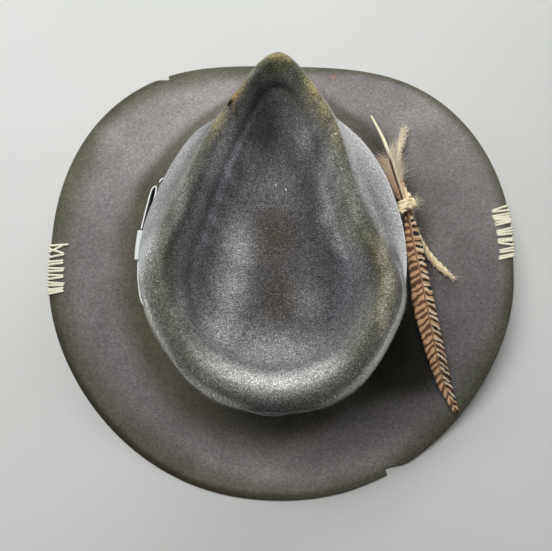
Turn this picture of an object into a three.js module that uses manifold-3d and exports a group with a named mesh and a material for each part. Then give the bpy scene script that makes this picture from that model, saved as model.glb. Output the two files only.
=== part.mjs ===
import * as THREE from 'three';
import { mergeVertices } from 'three/addons/utils/BufferGeometryUtils.js';
import Module from 'manifold-3d';

// A wool felt hat with a teardrop crown and a wide brim, in millimetres.
// +Z is up, the front of the hat looks along +Y, and the brim stands on z = 0.
// A bearing is an angle in degrees around the crown: 0 at the front, +90 at the wearer's right.

const { degToRad, lerp, smoothstep, clamp } = THREE.MathUtils;

const FELT = 2.2;                 // thickness of the felt
const BREAK = 26.4;               // height at which the brim turns up into the crown
const CROWN_BACK = 0.9;           // the crown's middle lies this far behind the brim's middle
const CROWN_LEAN = -2;            // sideways lean of the crown at its rim
const LEAN_HEIGHT = 45;           // height above the break at which the lean is full
const TIP_TURN = 0.6;             // bearing of the crown's tip

// The brim: square front, round back, sides turned up, front and back dipped to the ground.
const BRIM = {
  halfWidth: 163.5,
  halfLength: 168.4,
  frontLeftSquareness: 3.08,
  frontRightSquareness: 3.13,
  backSquareness: 2.12,
  leftLift: 6,                    // rise of the left edge above the break
  rightLift: 15,                  // rise of the right edge above the break
  dipFrom: 0.08,                  // share of the half length at which the dip begins
  dipTo: 0.93,                    // share of the half length beyond which the edge is fully dipped
  slopeShare: 0.84,               // share of a dipped brim's breadth that slopes; the rest lies flat
};
const BRIM_KEYS = [1, BRIM.slopeShare, 0.6, 0.34];

// Two worn nicks in the brim edge, each with a steep step and a slow run out.
const NICKS = [
  { step: -30.6, runOut: -34.2, depth: 3.2 },
  { step: 150.9, runOut: 144.6, depth: 4.4 },
];
const NICK_STEP = 0.4;            // bearing taken up by the steep step

// The burnt hole on the left crease of the crown: its bearings and the row of the grid it starts at.
const HOLE = { from: -20.8, to: -17.6, row: 9.2 };

// The oval where the crown leaves the brim, and the rings of its wall.
const OVAL = { halfWidth: 85, halfLength: 101, squareness: 2 };
const FOLD_OUT = 8;               // breadth of the fold between brim and wall
const FOOT = 7;                   // heights of the wall's rings above the break
const BAND_LINE = 29;
const BULGE_LINE = 46;
const UPPER_SHARE = 0.55;         // the upper ring's place between the bulge and the shoulder
const BAND_LINE_SHARE = 0.995;    // reach of the wall at the ribbon's top, as a share of the oval

// The top of the crown, one row per bearing; the left half mirrors the right one.
// The wall turns at the shoulder, rises to a ridge and falls to the dent's channel.
// full: reach of the bulge as a share of the oval.
// hollow: how far the upper ring has gone from the bulge in to the shoulder.
const SECTION_COLUMNS = [
  'shoulder', 'height', 'ridgeIn', 'ridgeUp', 'channel', 'channelDown', 'full', 'hollow',
];
const SECTIONS = [
  { bearing: 0, row: [98.5, 110, 5, 6.5, 78, 20, 0.985, 0.45] },
  { bearing: 6, row: [94.4, 110, 5.5, 6, 75, 20.5, 0.985, 0.45] },
  { bearing: 12, row: [86.4, 109.5, 6, 5.5, 66, 21, 0.985, 0.5] },
  { bearing: 18, row: [79.2, 108.5, 6, 5, 57, 20, 0.985, 0.55] },
  { bearing: 28, row: [70.0, 107, 6.5, 4.5, 47.5, 19, 0.985, 0.6] },
  { bearing: 40, row: [60.8, 105.5, 6.5, 4.5, 40, 18, 0.985, 0.62] },
  { bearing: 54, row: [54.2, 103.5, 7, 4.5, 36.5, 17.5, 0.985, 0.62] },
  { bearing: 68, row: [52.5, 101.5, 7.5, 5, 34.5, 17.5, 0.985, 0.6] },
  { bearing: 82, row: [55.5, 99, 8.5, 5.5, 34.5, 18, 0.98, 0.55] },
  { bearing: 94, row: [62.5, 96, 9.5, 6.5, 37, 18.5, 0.975, 0.48] },
  { bearing: 106, row: [72.5, 93, 11, 8, 41.5, 19.5, 0.97, 0.4] },
  { bearing: 120, row: [80.8, 90.5, 12.5, 9, 48, 20.5, 0.97, 0.36] },
  { bearing: 140, row: [88.2, 89.5, 13, 9.5, 56.5, 21, 0.975, 0.34] },
  { bearing: 160, row: [94.2, 89, 13, 9.5, 62, 21.5, 0.98, 0.34] },
  { bearing: 180, row: [97.2, 89, 13, 9.5, 64, 21.5, 0.985, 0.34] },
];

// Where the crown is pushed out of its even shape: the wall at its bulge, and the shoulder above it.
const PUSH_COLUMNS = ['wall', 'shoulder'];
const PUSHES = [
  { bearing: -180, row: [0, -0.6] },
  { bearing: -155, row: [-0.5, -1] },
  { bearing: -135, row: [-1.5, -2.8] },
  { bearing: -120, row: [-0.5, -1.6] },
  { bearing: -108, row: [2.6, 0.6] },
  { bearing: -95, row: [4, 2] },
  { bearing: -80, row: [2.2, 3] },
  { bearing: -65, row: [0.2, 3.5] },
  { bearing: -48, row: [1.1, 2.5] },
  { bearing: -34, row: [3.5, 0.6] },
  { bearing: -24, row: [2.4, -0.8] },
  { bearing: -8, row: [0, -0.6] },
  { bearing: 0, row: [0, 0.8] },
  { bearing: 8, row: [0, 0] },
  { bearing: 20, row: [2.4, 1.2] },
  { bearing: 32, row: [2.7, 0.6] },
  { bearing: 46, row: [1.5, 0] },
  { bearing: 64, row: [0.1, 0] },
  { bearing: 80, row: [1.2, 0] },
  { bearing: 98, row: [2.9, 0.4] },
  { bearing: 112, row: [3, 2.6] },
  { bearing: 128, row: [1, 1.3] },
  { bearing: 155, row: [2.4, 3.6] },
  { bearing: 180, row: [0, -0.6] },
];
const LIP_IN = 0.42;              // the lip's place between the ridge and the channel
const LIP_DOWN = 0.4;             // its fall, as a share of the channel's depth
const MIDDLE = 88;                // height of the dent's raised middle above the break
const FLOOR_SHARE = 0.5;          // a floor ring between the channel and the middle
const FLOOR_BLEND = 0.3;          // its height between the middle and the channel

// Grid of the felt: columns around, finer at the front, and rows counted in keys from the edge in.
const COLUMNS = 70;
const FRONT_CROWDING = 22;        // how far columns are drawn towards the front, in degrees
const COLUMN_GAP = 1.3;           // columns nearer than this to a hole's or nick's own are left out
const ROWS = [
  0, 0.5, 1, 1.5, 2, 2.5, 3, 3.5, 4, 4.4, 4.75, 5, 5.5, 6, 6.5, 7, 7.5, 8, 8.5,
  8.85, HOLE.row, 9.8, 10.25, 10.6, 11, 11.5, 12, 13,
];
const WALL_KEYS = { from: BRIM_KEYS.length, to: BRIM_KEYS.length + 4, halvings: 24 };

// Ribbon band, bow, feather and twine.
const GAP = 0.35;                 // clearance between neighbouring pieces
const RIBBON = 0.8;               // thickness of the ribbon
const BAND = { columns: 60, low: 5, turn: 11, high: 31, off: 0.6, backOff: 2.6, backReach: 9 };
const BAND_FACE = BAND.off + RIBBON + GAP;
const KEEPER = { from: -93, to: -80, low: 4.4, high: 32, thick: 7.4, columns: 5 };

// The bow's ribbon loops in plan: bearing and distance along each fold.
const BOW = { low: 6.5, high: 30.5, samples: 22 };
const FRONT_LOOP = [
  { bearing: -79.4, reach: 89.9 }, { bearing: -70, reach: 91.7 }, { bearing: -62, reach: 95.2 },
  { bearing: -60.8, reach: 96.6 },
  { bearing: -62, reach: 97.9 }, { bearing: -70, reach: 95.4 }, { bearing: -79.4, reach: 94.0 },
];
const FRONT_TAIL = [
  { bearing: -76, reach: 89.0 }, { bearing: -66, reach: 90.7 }, { bearing: -57.4, reach: 93.9 },
  { bearing: -56.2, reach: 95.2 }, { bearing: -57.2, reach: 96.4 }, { bearing: -58.6, reach: 96.2 },
];
const BACK_LOOP = [
  { bearing: -93.6, reach: 89.4 }, { bearing: -102, reach: 89.4 }, { bearing: -110.6, reach: 91.2 },
  { bearing: -112.2, reach: 92.8 },
  { bearing: -110.6, reach: 94.4 }, { bearing: -102, reach: 93.9 }, { bearing: -93.6, reach: 93.2 },
];

// The feather from its quill tip to its far tip; left and right are the breadths of its two vanes.
const FEATHER_STATIONS = 30;
const FEATHER_RING = 8;           // corners of a cross section
const SHAFT_FLAT = 0.5;           // the shaft's flats and height as shares of its half breadth
const SHAFT_HIGH = 0.85;
const FEATHER = [
  { bearing: 30.6, reach: 130.7, rise: 8, shaft: 0.7, left: 0, right: 0 },
  { bearing: 40.1, reach: 116.2, rise: 16, shaft: 1.3, left: 0, right: 0 },
  { bearing: 52, reach: 102.5, rise: 22.5, shaft: 1.4, left: 1.2, right: 1.2 },
  { bearing: 66.5, reach: 94.8, rise: 27, shaft: 1.3, left: 0, right: 0 },
  { bearing: 72, reach: 93.9, rise: 26.4, shaft: 1.3, left: 3, right: 4 },
  { bearing: 84.8, reach: 94.3, rise: 24, shaft: 1.2, left: 6.2, right: 5.4 },
  { bearing: 103.4, reach: 105.2, rise: 17, shaft: 1.1, left: 9.6, right: 5.8 },
  { bearing: 118.8, reach: 127.5, rise: 8, shaft: 0.9, left: 5.8, right: 6.2 },
  { bearing: 124.4, reach: 144.8, rise: -2.4, shaft: 0.7, left: 3.8, right: 5.4 },
  { bearing: 127.9, reach: 164, rise: -9.4, shaft: 0.4, left: 1.4, right: 1.6 },
];
const VANE = 0.5;                 // thickness of a vane
const VANE_DROOP = 0.18;          // fall of a vane's edge per millimetre of its breadth

// The jute twine: a tie about the quill, tucked over and under the ribbon, and two free ends.
const TWINE = 4;                  // diameter
const TWINE_SIDES = 8;
const TWINE_STEPS = 8;
const WELD = 1e-4;                // corners nearer than this are one
const KNOT = {
  bearing: 66.5, reach: 94.8, rise: 27, wrap: 3.9, wraps: [-3.5, 0, 3.5], ball: 3.4, ballOut: 5.4,
  sides: 12, tubeSides: 6,
};
const TUCK_OVER = [
  { bearing: 67.6, reach: 92.4, rise: 33 }, { bearing: 68.4, reach: 89.6, rise: 34.6 },
  { bearing: 69, reach: 87.9, rise: 34.4 },
];
const TUCK_UNDER = [
  { bearing: 65.4, reach: 90.7, rise: 16 }, { bearing: 65.2, reach: 90.6, rise: 9 },
  { bearing: 65, reach: 91.8, rise: 4.6 },
];
const UPPER_CLEAR = 5.7;          // where a free end starts, measured from the middle of the knot
const LOWER_CLEAR = 6.8;
const END_UPPER = [
  { bearing: 58.2, reach: 101.6, rise: 21 }, { bearing: 51.6, reach: 109.1, rise: 13 },
  { bearing: 45.1, reach: 125.5, rise: -1 }, { bearing: 40.5, reach: 149.4, rise: -16.3 },
];
const END_LOWER = [
  { bearing: 70.6, reach: 98.5, rise: 17.5 }, { bearing: 77.8, reach: 100.9, rise: 10.5 },
  { bearing: 83.8, reach: 106.6, rise: 5.4 }, { bearing: 89.2, reach: 114.6, rise: 5.2 },
  { bearing: 93.7, reach: 125.5, rise: 7.2 },
];

// Points at a bearing and distance from the crown's middle.
function plan(bearing, radius, z) {
  const turn = degToRad(bearing);
  return new THREE.Vector3(radius * Math.sin(turn), radius * Math.cos(turn) - CROWN_BACK, z);
}

function wrapBearing(bearing) {
  return THREE.MathUtils.euclideanModulo(bearing + 180, 360) - 180;
}

function ovalRadius(bearing, { halfWidth, halfLength, squareness }) {
  const turn = degToRad(bearing);
  const across = Math.abs(Math.sin(turn) / halfWidth) ** squareness;
  const along = Math.abs(Math.cos(turn) / halfLength) ** squareness;
  return (across + along) ** (-1 / squareness);
}

// A table read smoothly between its rows, each value under the name of its column.
function smoothTable(rows, columns) {
  const curve = new THREE.CubicInterpolant(
    rows.map((entry) => entry.bearing),
    rows.flatMap((entry) => entry.row),
    columns.length,
    new Array(columns.length),
  );
  curve.settings = { endingStart: THREE.ZeroSlopeEnding, endingEnd: THREE.ZeroSlopeEnding };
  return (bearing) => {
    const values = Array.from(curve.evaluate(bearing));
    return Object.fromEntries(columns.map((name, i) => [name, values[i]]));
  };
}
const evenSection = smoothTable(SECTIONS, SECTION_COLUMNS);
const pushAt = smoothTable(PUSHES, PUSH_COLUMNS);

// The felt, described at one bearing as a curve from the brim edge to the middle of the dent.
function sectionAt(bearing) {
  const turn = wrapBearing(bearing - TIP_TURN);
  const section = evenSection(Math.abs(turn));
  const push = pushAt(turn);
  section.shoulder += push.shoulder;
  section.wallOut = push.wall;
  return section;
}

function nickDepth(bearing) {
  let depth = 0;
  for (const nick of NICKS) {
    const share = (bearing - nick.runOut) / (nick.step - nick.runOut);
    const stepShare = NICK_STEP / Math.abs(nick.step - nick.runOut);
    if (share > 0 && share < 1) {
      depth = nick.depth * Math.min(share / (1 - stepShare), (1 - share) / stepShare);
    }
  }
  return depth;
}

function brimPoint(bearing, share, nick) {
  const turn = degToRad(bearing);
  const front = Math.sin(turn) < 0 ? BRIM.frontLeftSquareness : BRIM.frontRightSquareness;
  const squareness = Math.cos(turn) >= 0 ? front : BRIM.backSquareness;
  const edge = ovalRadius(bearing, { ...BRIM, squareness });
  const oval = ovalRadius(bearing, OVAL);
  const along = Math.abs(edge * Math.cos(turn)) / BRIM.halfLength;
  const dip = smoothstep(along, BRIM.dipFrom, BRIM.dipTo);
  const lift = lerp(BRIM.leftLift, BRIM.rightLift, (Math.sin(turn) + 1) / 2);
  const curled = BREAK + lift * share ** 2;
  const dipped = lerp(BREAK, FELT, smoothstep(share, 0, BRIM.slopeShare));
  const point = plan(bearing, lerp(oval, edge, share) - nick, lerp(curled, dipped, dip));
  point.y += CROWN_BACK * share;
  return point;
}

function crownPoint(bearing, radius, rise) {
  const point = plan(bearing, radius, BREAK + rise);
  point.x += CROWN_LEAN * clamp(rise / LEAN_HEIGHT, 0, 1);
  return point;
}

function feltCurve(bearing) {
  const s = sectionAt(bearing);
  const oval = ovalRadius(bearing, OVAL);
  const keys = BRIM_KEYS.map((share, i) => brimPoint(bearing, share, i === 0 ? nickDepth(bearing) : 0));
  const edgeReach = Math.hypot(keys[0].x, keys[0].y);
  keys.push(brimPoint(bearing, FOLD_OUT / (edgeReach - oval), 0));
  keys.push(crownPoint(bearing, oval, FOOT));
  keys.push(crownPoint(bearing, oval * BAND_LINE_SHARE, BAND_LINE));
  const bulge = oval * s.full + s.wallOut;
  keys.push(crownPoint(bearing, bulge, BULGE_LINE));
  const upper = lerp(bulge, s.shoulder, s.hollow);
  keys.push(crownPoint(bearing, upper, lerp(BULGE_LINE, s.height, UPPER_SHARE)));
  keys.push(crownPoint(bearing, s.shoulder, s.height));
  const ridge = s.shoulder - s.ridgeIn;
  const ridgeRise = s.height + s.ridgeUp;
  keys.push(crownPoint(bearing, ridge, ridgeRise));
  keys.push(crownPoint(bearing, lerp(ridge, s.channel, LIP_IN), ridgeRise - s.channelDown * LIP_DOWN));
  const channelRise = ridgeRise - s.channelDown;
  keys.push(crownPoint(bearing, s.channel, channelRise));
  keys.push(crownPoint(bearing, s.channel * FLOOR_SHARE, lerp(MIDDLE, channelRise, FLOOR_BLEND)));
  keys.push(crownPoint(bearing, 0, MIDDLE));
  const curve = new THREE.CatmullRomCurve3(keys, false, 'catmullrom');
  curve.at = (key) => curve.getPoint(key / (keys.length - 1));
  return curve;
}

function feltBearings() {
  const special = [HOLE.from, HOLE.to];
  for (const nick of NICKS) {
    const turn = Math.sign(nick.runOut - nick.step);
    special.push(nick.step, nick.step + turn * NICK_STEP, (nick.step + nick.runOut) / 2, nick.runOut);
  }
  const regular = [];
  for (let k = 0; k < COLUMNS; k += 1) {
    const angle = (2 * Math.PI * k) / COLUMNS;
    regular.push(wrapBearing(THREE.MathUtils.radToDeg(angle) - FRONT_CROWDING * Math.sin(angle)));
  }
  const clear = regular.filter((b) => special.every((s) => Math.abs(wrapBearing(b - s)) > COLUMN_GAP));
  return [...clear, ...special].sort((a, b) => a - b);
}

// A solid from loose corner lists: vertices as vectors, faces as triples.
function solidGeometry(vertices, faces) {
  const geometry = new THREE.BufferGeometry();
  const numbers = vertices.flatMap((v) => v.toArray());
  geometry.setAttribute('position', new THREE.Float32BufferAttribute(numbers, 3));
  geometry.setIndex(faces.flat());
  geometry.computeVertexNormals();
  return geometry;
}

// Felt body: crown and brim blocked from one piece of felt, with the hole and nicks.
function feltBody() {
  const bearings = feltBearings();
  const columns = bearings.length;
  const curves = bearings.map(feltCurve);
  const grid = ROWS.map((key) => curves.map((curve) => {
    const point = curve.at(key);
    point.z = Math.max(point.z, FELT);
    return point;
  }));
  const middle = curves[0].points.at(-1).clone();
  const vertices = grid.flat();
  const normalAt = (i, j) => {
    const around = grid[i][(j + 1) % columns].clone().sub(grid[i][(j + columns - 1) % columns]);
    const inward = (grid[i + 1]?.[j] ?? middle).clone().sub(grid[Math.max(i - 1, 0)][j]);
    return inward.cross(around).normalize();
  };
  const under = grid.flatMap((row, i) => row.map((point, j) => {
    const inside = point.clone().addScaledVector(normalAt(i, j), -FELT);
    if (point.z <= FELT) inside.set(point.x, point.y, 0);
    inside.z = Math.max(inside.z, 0);
    return inside;
  }));
  const count = vertices.length;
  vertices.push(...under);
  const topMiddle = vertices.push(middle) - 1;
  const underMiddle = vertices.push(middle.clone().setZ(middle.z - FELT)) - 1;

  const faces = [];
  const strip = (a, b, c, d) => faces.push([a, b, c], [a, c, d]);
  const holeColumn = bearings.indexOf(HOLE.from);
  const holeRow = ROWS.indexOf(HOLE.row);
  for (let i = 0; i + 1 < ROWS.length; i += 1) {
    for (let j = 0; j < columns; j += 1) {
      const a = i * columns + j;
      const b = i * columns + ((j + 1) % columns);
      const c = b + columns;
      const d = a + columns;
      if (i === holeRow && j === holeColumn) {
        for (const [p, q] of [[a, d], [d, c], [c, b], [b, a]]) strip(p, q, q + count, p + count);
      } else {
        strip(a, d, c, b);
        strip(a + count, b + count, c + count, d + count);
      }
    }
  }
  const last = (ROWS.length - 1) * columns;
  for (let j = 0; j < columns; j += 1) {
    const next = (j + 1) % columns;
    strip(j, next, next + count, j + count);
    faces.push([last + j, topMiddle, last + next]);
    faces.push([last + j + count, last + next + count, underMiddle]);
  }
  return solidGeometry(vertices, faces);
}

// A point of the crown's wall at a height above the break, pushed straight out from the felt.
function wallPoint(bearing, rise, out) {
  const find = (b) => {
    const curve = feltCurve(b);
    let low = WALL_KEYS.from;
    let high = WALL_KEYS.to;
    for (let k = 0; k < WALL_KEYS.halvings; k += 1) {
      const key = (low + high) / 2;
      if (curve.at(key).z < BREAK + rise) low = key;
      else high = key;
    }
    return curve.at(low);
  };
  const point = find(bearing);
  const along = find(bearing + 1).sub(find(bearing - 1));
  const outward = new THREE.Vector3(-along.y, along.x, 0).normalize();
  return point.addScaledVector(outward, out);
}

// A curved sheet between an inner and an outer skin, closed into a ring or with two ends.
function sheetSolid(bearings, rises, inner, outer, closed) {
  const columns = bearings.length;
  const rows = rises.length;
  const vertices = [];
  for (const skin of [outer, inner]) {
    for (const rise of rises) vertices.push(...bearings.map((b) => skin(b, rise)));
  }
  const count = rows * columns;
  const faces = [];
  const strip = (a, b, c, d) => faces.push([a, b, c], [a, c, d]);
  for (let j = 0; j < (closed ? columns : columns - 1); j += 1) {
    const next = (j + 1) % columns;
    for (let i = 0; i + 1 < rows; i += 1) {
      const [a, b] = [i * columns + j, i * columns + next];
      strip(a, a + columns, b + columns, b);
      strip(a + count, b + count, b + columns + count, a + columns + count);
    }
    const top = (rows - 1) * columns;
    strip(j, next, next + count, j + count);
    strip(top + j, top + j + count, top + next + count, top + next);
  }
  if (!closed) {
    for (let i = 0; i + 1 < rows; i += 1) {
      const [a, b] = [i * columns, (i + 1) * columns];
      const end = columns - 1;
      strip(a, a + count, b + count, b);
      strip(a + end, b + end, b + end + count, a + end + count);
    }
  }
  return solidGeometry(vertices, faces);
}

// Hat band: a ribbon around the foot of the crown; its upper edge stands off at the back.
function bandOut(bearing, rise) {
  const back = Math.exp(-((wrapBearing(bearing - 180) / BAND.backReach) ** 2));
  const up = (rise - BAND.low) / (BAND.high - BAND.low);
  return BAND.off + BAND.backOff * back * up ** 2;
}

function hatBand() {
  const bearings = Array.from({ length: BAND.columns }, (_, k) => (360 * k) / BAND.columns);
  const rises = [BAND.low, BAND.turn, BAND.high];
  const inner = (b, rise) => wallPoint(b, rise, bandOut(b, rise));
  const outer = (b, rise) => wallPoint(b, rise, bandOut(b, rise) + RIBBON);
  return sheetSolid(bearings, rises, inner, outer, true);
}

// Bow keeper: the ribbon wrapped upright around the middle of the bow.
function bowKeeper() {
  const bearings = Array.from({ length: KEEPER.columns }, (_, k) => (
    lerp(KEEPER.from, KEEPER.to, k / (KEEPER.columns - 1))
  ));
  const rises = [KEEPER.low, BAND.turn, KEEPER.high];
  const inner = (b, rise) => wallPoint(b, rise, BAND_FACE);
  const outer = (b, rise) => wallPoint(b, rise, BAND_FACE + KEEPER.thick);
  return sheetSolid(bearings, rises, inner, outer, false);
}

// Bow loops: a flat ribbon folded along a plan line and standing on edge.
function ribbonLoop(folds) {
  const line = new THREE.CatmullRomCurve3(folds.map((fold) => plan(fold.bearing, fold.reach, 0)));
  const sides = [[], []];
  for (let k = 0; k <= BOW.samples; k += 1) {
    const at = k / BOW.samples;
    const point = line.getPoint(at);
    const along = line.getTangent(at);
    const across = new THREE.Vector2(-along.y, along.x).multiplyScalar(RIBBON / 2);
    sides[0].push(new THREE.Vector2(point.x + across.x, point.y + across.y));
    sides[1].unshift(new THREE.Vector2(point.x - across.x, point.y - across.y));
  }
  const shape = new THREE.Shape([...sides[0], ...sides[1]]);
  const geometry = new THREE.ExtrudeGeometry(shape, { depth: BOW.high - BOW.low, bevelEnabled: false });
  return geometry.translate(0, 0, BREAK + BOW.low);
}

// Feather: a shaft with a thin vane on each side, lofted along its curve.
const placed = (spot) => plan(spot.bearing, spot.reach, BREAK + spot.rise);
const featherLine = new THREE.CatmullRomCurve3(FEATHER.map(placed));

function featherAt(share, column) {
  const spot = share * (FEATHER.length - 1);
  const k = Math.min(Math.floor(spot), FEATHER.length - 2);
  return lerp(FEATHER[k][column], FEATHER[k + 1][column], spot - k);
}

function feather() {
  const up = new THREE.Vector3(0, 0, 1);
  const vertices = [];
  const ring = FEATHER_RING;
  for (let k = 0; k <= FEATHER_STATIONS; k += 1) {
    const share = k / FEATHER_STATIONS;
    const middle = featherLine.getPoint(share);
    const along = featherLine.getTangent(share);
    const right = along.clone().cross(up).normalize().negate();
    const face = right.clone().cross(along).normalize();
    if (face.z < 0) face.negate();
    const shaft = featherAt(share, 'shaft');
    const flat = shaft * SHAFT_FLAT;
    const high = shaft * SHAFT_HIGH;
    const corner = (across, rise) => (
      middle.clone().addScaledVector(right, across).addScaledVector(face, rise)
    );
    const side = (breadth, sign) => {
      const reach = Math.max(breadth, high);
      const fall = -VANE_DROOP * Math.max(breadth - shaft, 0);
      return [corner(sign * reach, fall + VANE / 2), corner(sign * reach, fall - VANE / 2)];
    };
    const [leftTop, leftUnder] = side(featherAt(share, 'left'), -1);
    const [rightTop, rightUnder] = side(featherAt(share, 'right'), 1);
    vertices.push(
      corner(-flat, high), corner(flat, high), rightTop, rightUnder,
      corner(flat, -high), corner(-flat, -high), leftUnder, leftTop,
    );
  }
  const faces = [];
  for (let k = 0; k < FEATHER_STATIONS; k += 1) {
    for (let j = 0; j < ring; j += 1) {
      const [a, b] = [k * ring + j, k * ring + ((j + 1) % ring)];
      faces.push([a, b + ring, b], [a, a + ring, b + ring]);
    }
  }
  const end = FEATHER_STATIONS * ring;
  for (let j = 1; j + 1 < ring; j += 1) {
    faces.push([0, j, j + 1], [end, end + j + 1, end + j]);
  }
  return solidGeometry(vertices, faces);
}

// Twine: tubes along a line of spots; the tie joins its wraps, knot and tucks into one solid.
function twineTube(points) {
  const circle = new THREE.Shape();
  circle.absarc(0, 0, TWINE / 2, 0, 2 * Math.PI);
  const round = new THREE.Shape(circle.getSpacedPoints(TWINE_SIDES).slice(0, TWINE_SIDES));
  return new THREE.ExtrudeGeometry(round, {
    steps: TWINE_STEPS,
    bevelEnabled: false,
    extrudePath: new THREE.CatmullRomCurve3(points),
  });
}

const wasm = await Module();
wasm.setup();

function toSolid(geometry) {
  const plain = geometry.clone();
  plain.deleteAttribute('normal');
  plain.deleteAttribute('uv');
  const merged = mergeVertices(plain, WELD);
  return new wasm.Manifold(new wasm.Mesh({
    numProp: 3,
    vertProperties: merged.getAttribute('position').array,
    triVerts: new Uint32Array(merged.index.array),
  }));
}

function fromSolid(solid) {
  const mesh = solid.getMesh();
  const geometry = new THREE.BufferGeometry();
  geometry.setAttribute('position', new THREE.BufferAttribute(mesh.vertProperties, 3));
  geometry.setIndex(new THREE.BufferAttribute(mesh.triVerts, 1));
  geometry.computeVertexNormals();
  return geometry;
}

const knotMiddle = placed(KNOT);
const knotOut = knotMiddle.clone().setZ(0).normalize();
const knotBall = knotMiddle.clone().addScaledVector(knotOut, KNOT.ballOut);

function twineTie() {
  const share = FEATHER.findIndex((spot) => spot.bearing === KNOT.bearing) / (FEATHER.length - 1);
  const along = featherLine.getTangent(share);
  const turn = new THREE.Quaternion().setFromUnitVectors(new THREE.Vector3(0, 0, 1), along);
  const pieces = KNOT.wraps.map((shift) => {
    const middle = knotMiddle.clone().addScaledVector(along, shift);
    const torus = new THREE.TorusGeometry(KNOT.wrap, TWINE / 2, KNOT.tubeSides, KNOT.sides);
    return torus.applyQuaternion(turn).translate(middle.x, middle.y, middle.z);
  });
  const ball = new THREE.SphereGeometry(KNOT.ball, KNOT.sides, KNOT.sides / 2);
  pieces.push(ball.translate(knotBall.x, knotBall.y, knotBall.z));
  const above = knotMiddle.clone().add(new THREE.Vector3(0, 0, KNOT.wrap));
  const below = knotMiddle.clone().add(new THREE.Vector3(0, 0, -KNOT.wrap));
  pieces.push(twineTube([above, ...TUCK_OVER.map(placed)]));
  pieces.push(twineTube([below, ...TUCK_UNDER.map(placed)]));
  return fromSolid(pieces.map(toSolid).reduce((whole, piece) => whole.add(piece)));
}

function twineEnd(spots, clear) {
  const leave = placed(spots[0]).sub(knotBall).normalize();
  const start = knotBall.clone().addScaledVector(leave, clear);
  return twineTube([start, ...spots.map(placed)]);
}

const group = new THREE.Group();
function add(name, geometry, color, roughness) {
  const mesh = new THREE.Mesh(geometry, new THREE.MeshStandardMaterial({ color, roughness, metalness: 0 }));
  mesh.name = name;
  group.add(mesh);
}
add('felt_body', feltBody(), 0x77757a, 0.95);
add('hat_band', hatBand(), 0x7d8084, 0.8);
add('bow_keeper', bowKeeper(), 0xd5e4e4, 0.8);
add('bow_front_loop', ribbonLoop(FRONT_LOOP), 0x8d9094, 0.8);
add('bow_front_tail', ribbonLoop(FRONT_TAIL), 0x8d9094, 0.8);
add('bow_back_loop', ribbonLoop(BACK_LOOP), 0x8d9094, 0.8);
add('feather', feather(), 0x9a7350, 0.7);
add('twine_tie', twineTie(), 0xc9b184, 0.95);
add('twine_end_upper', twineEnd(END_UPPER, UPPER_CLEAR), 0xc9b184, 0.95);
add('twine_end_lower', twineEnd(END_LOWER, LOWER_CLEAR), 0xc9b184, 0.95);
export default group;
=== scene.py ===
import math

import bpy
import numpy as np
from mathutils import Matrix, Vector
from mathutils.bvhtree import BVHTree


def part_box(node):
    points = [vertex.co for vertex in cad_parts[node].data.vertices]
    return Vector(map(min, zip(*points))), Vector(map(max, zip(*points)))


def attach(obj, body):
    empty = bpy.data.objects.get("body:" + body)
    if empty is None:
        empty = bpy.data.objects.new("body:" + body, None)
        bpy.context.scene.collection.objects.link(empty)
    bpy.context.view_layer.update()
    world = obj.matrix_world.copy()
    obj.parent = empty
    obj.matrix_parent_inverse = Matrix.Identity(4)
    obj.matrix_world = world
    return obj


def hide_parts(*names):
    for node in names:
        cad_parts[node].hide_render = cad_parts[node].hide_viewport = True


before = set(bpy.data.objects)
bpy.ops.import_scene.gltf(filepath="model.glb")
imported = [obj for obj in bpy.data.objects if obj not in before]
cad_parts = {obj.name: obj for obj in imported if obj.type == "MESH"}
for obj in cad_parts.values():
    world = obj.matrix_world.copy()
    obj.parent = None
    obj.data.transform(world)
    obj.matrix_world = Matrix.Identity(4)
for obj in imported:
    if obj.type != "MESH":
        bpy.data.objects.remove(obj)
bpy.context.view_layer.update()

# Felt body: crown and brim are one sheet of grey wool felt, steamed and pressed over a block.
# The brim edge is cut raw; the felt is rubbed, singed and stained, so olive, rust and white
# wool show through the grey. Its colours also hold painted light, shade and highlights. The other pieces
# are fixed to it.
MM = 0.001
CROWN_BACK = 0.9 * MM        # the crown's middle lies this far behind the brim's middle
BREAK = 26.4 * MM            # height at which the brim turns up into the crown
WELD = 0.01 * MM             # corners nearer to each other than this are one
SHARP = math.radians(60)     # edges that turn more than this stay crisp


def onto_hat(piece, slot, *nodes):
    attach(piece, "root")
    if nodes:
        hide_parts(*nodes)


def put_in(name, data):
    piece = bpy.data.objects.new(name, data)
    bpy.context.scene.collection.objects.link(piece)
    return piece


def pick(*pieces):
    bpy.ops.object.select_all(action="DESELECT")
    for piece in pieces:
        piece.select_set(True)
    bpy.context.view_layer.objects.active = pieces[0]


def corners_of(mesh):
    places = np.empty(len(mesh.vertices) * 3)
    mesh.vertices.foreach_get("co", places)
    return places.reshape(-1, 3)


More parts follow.
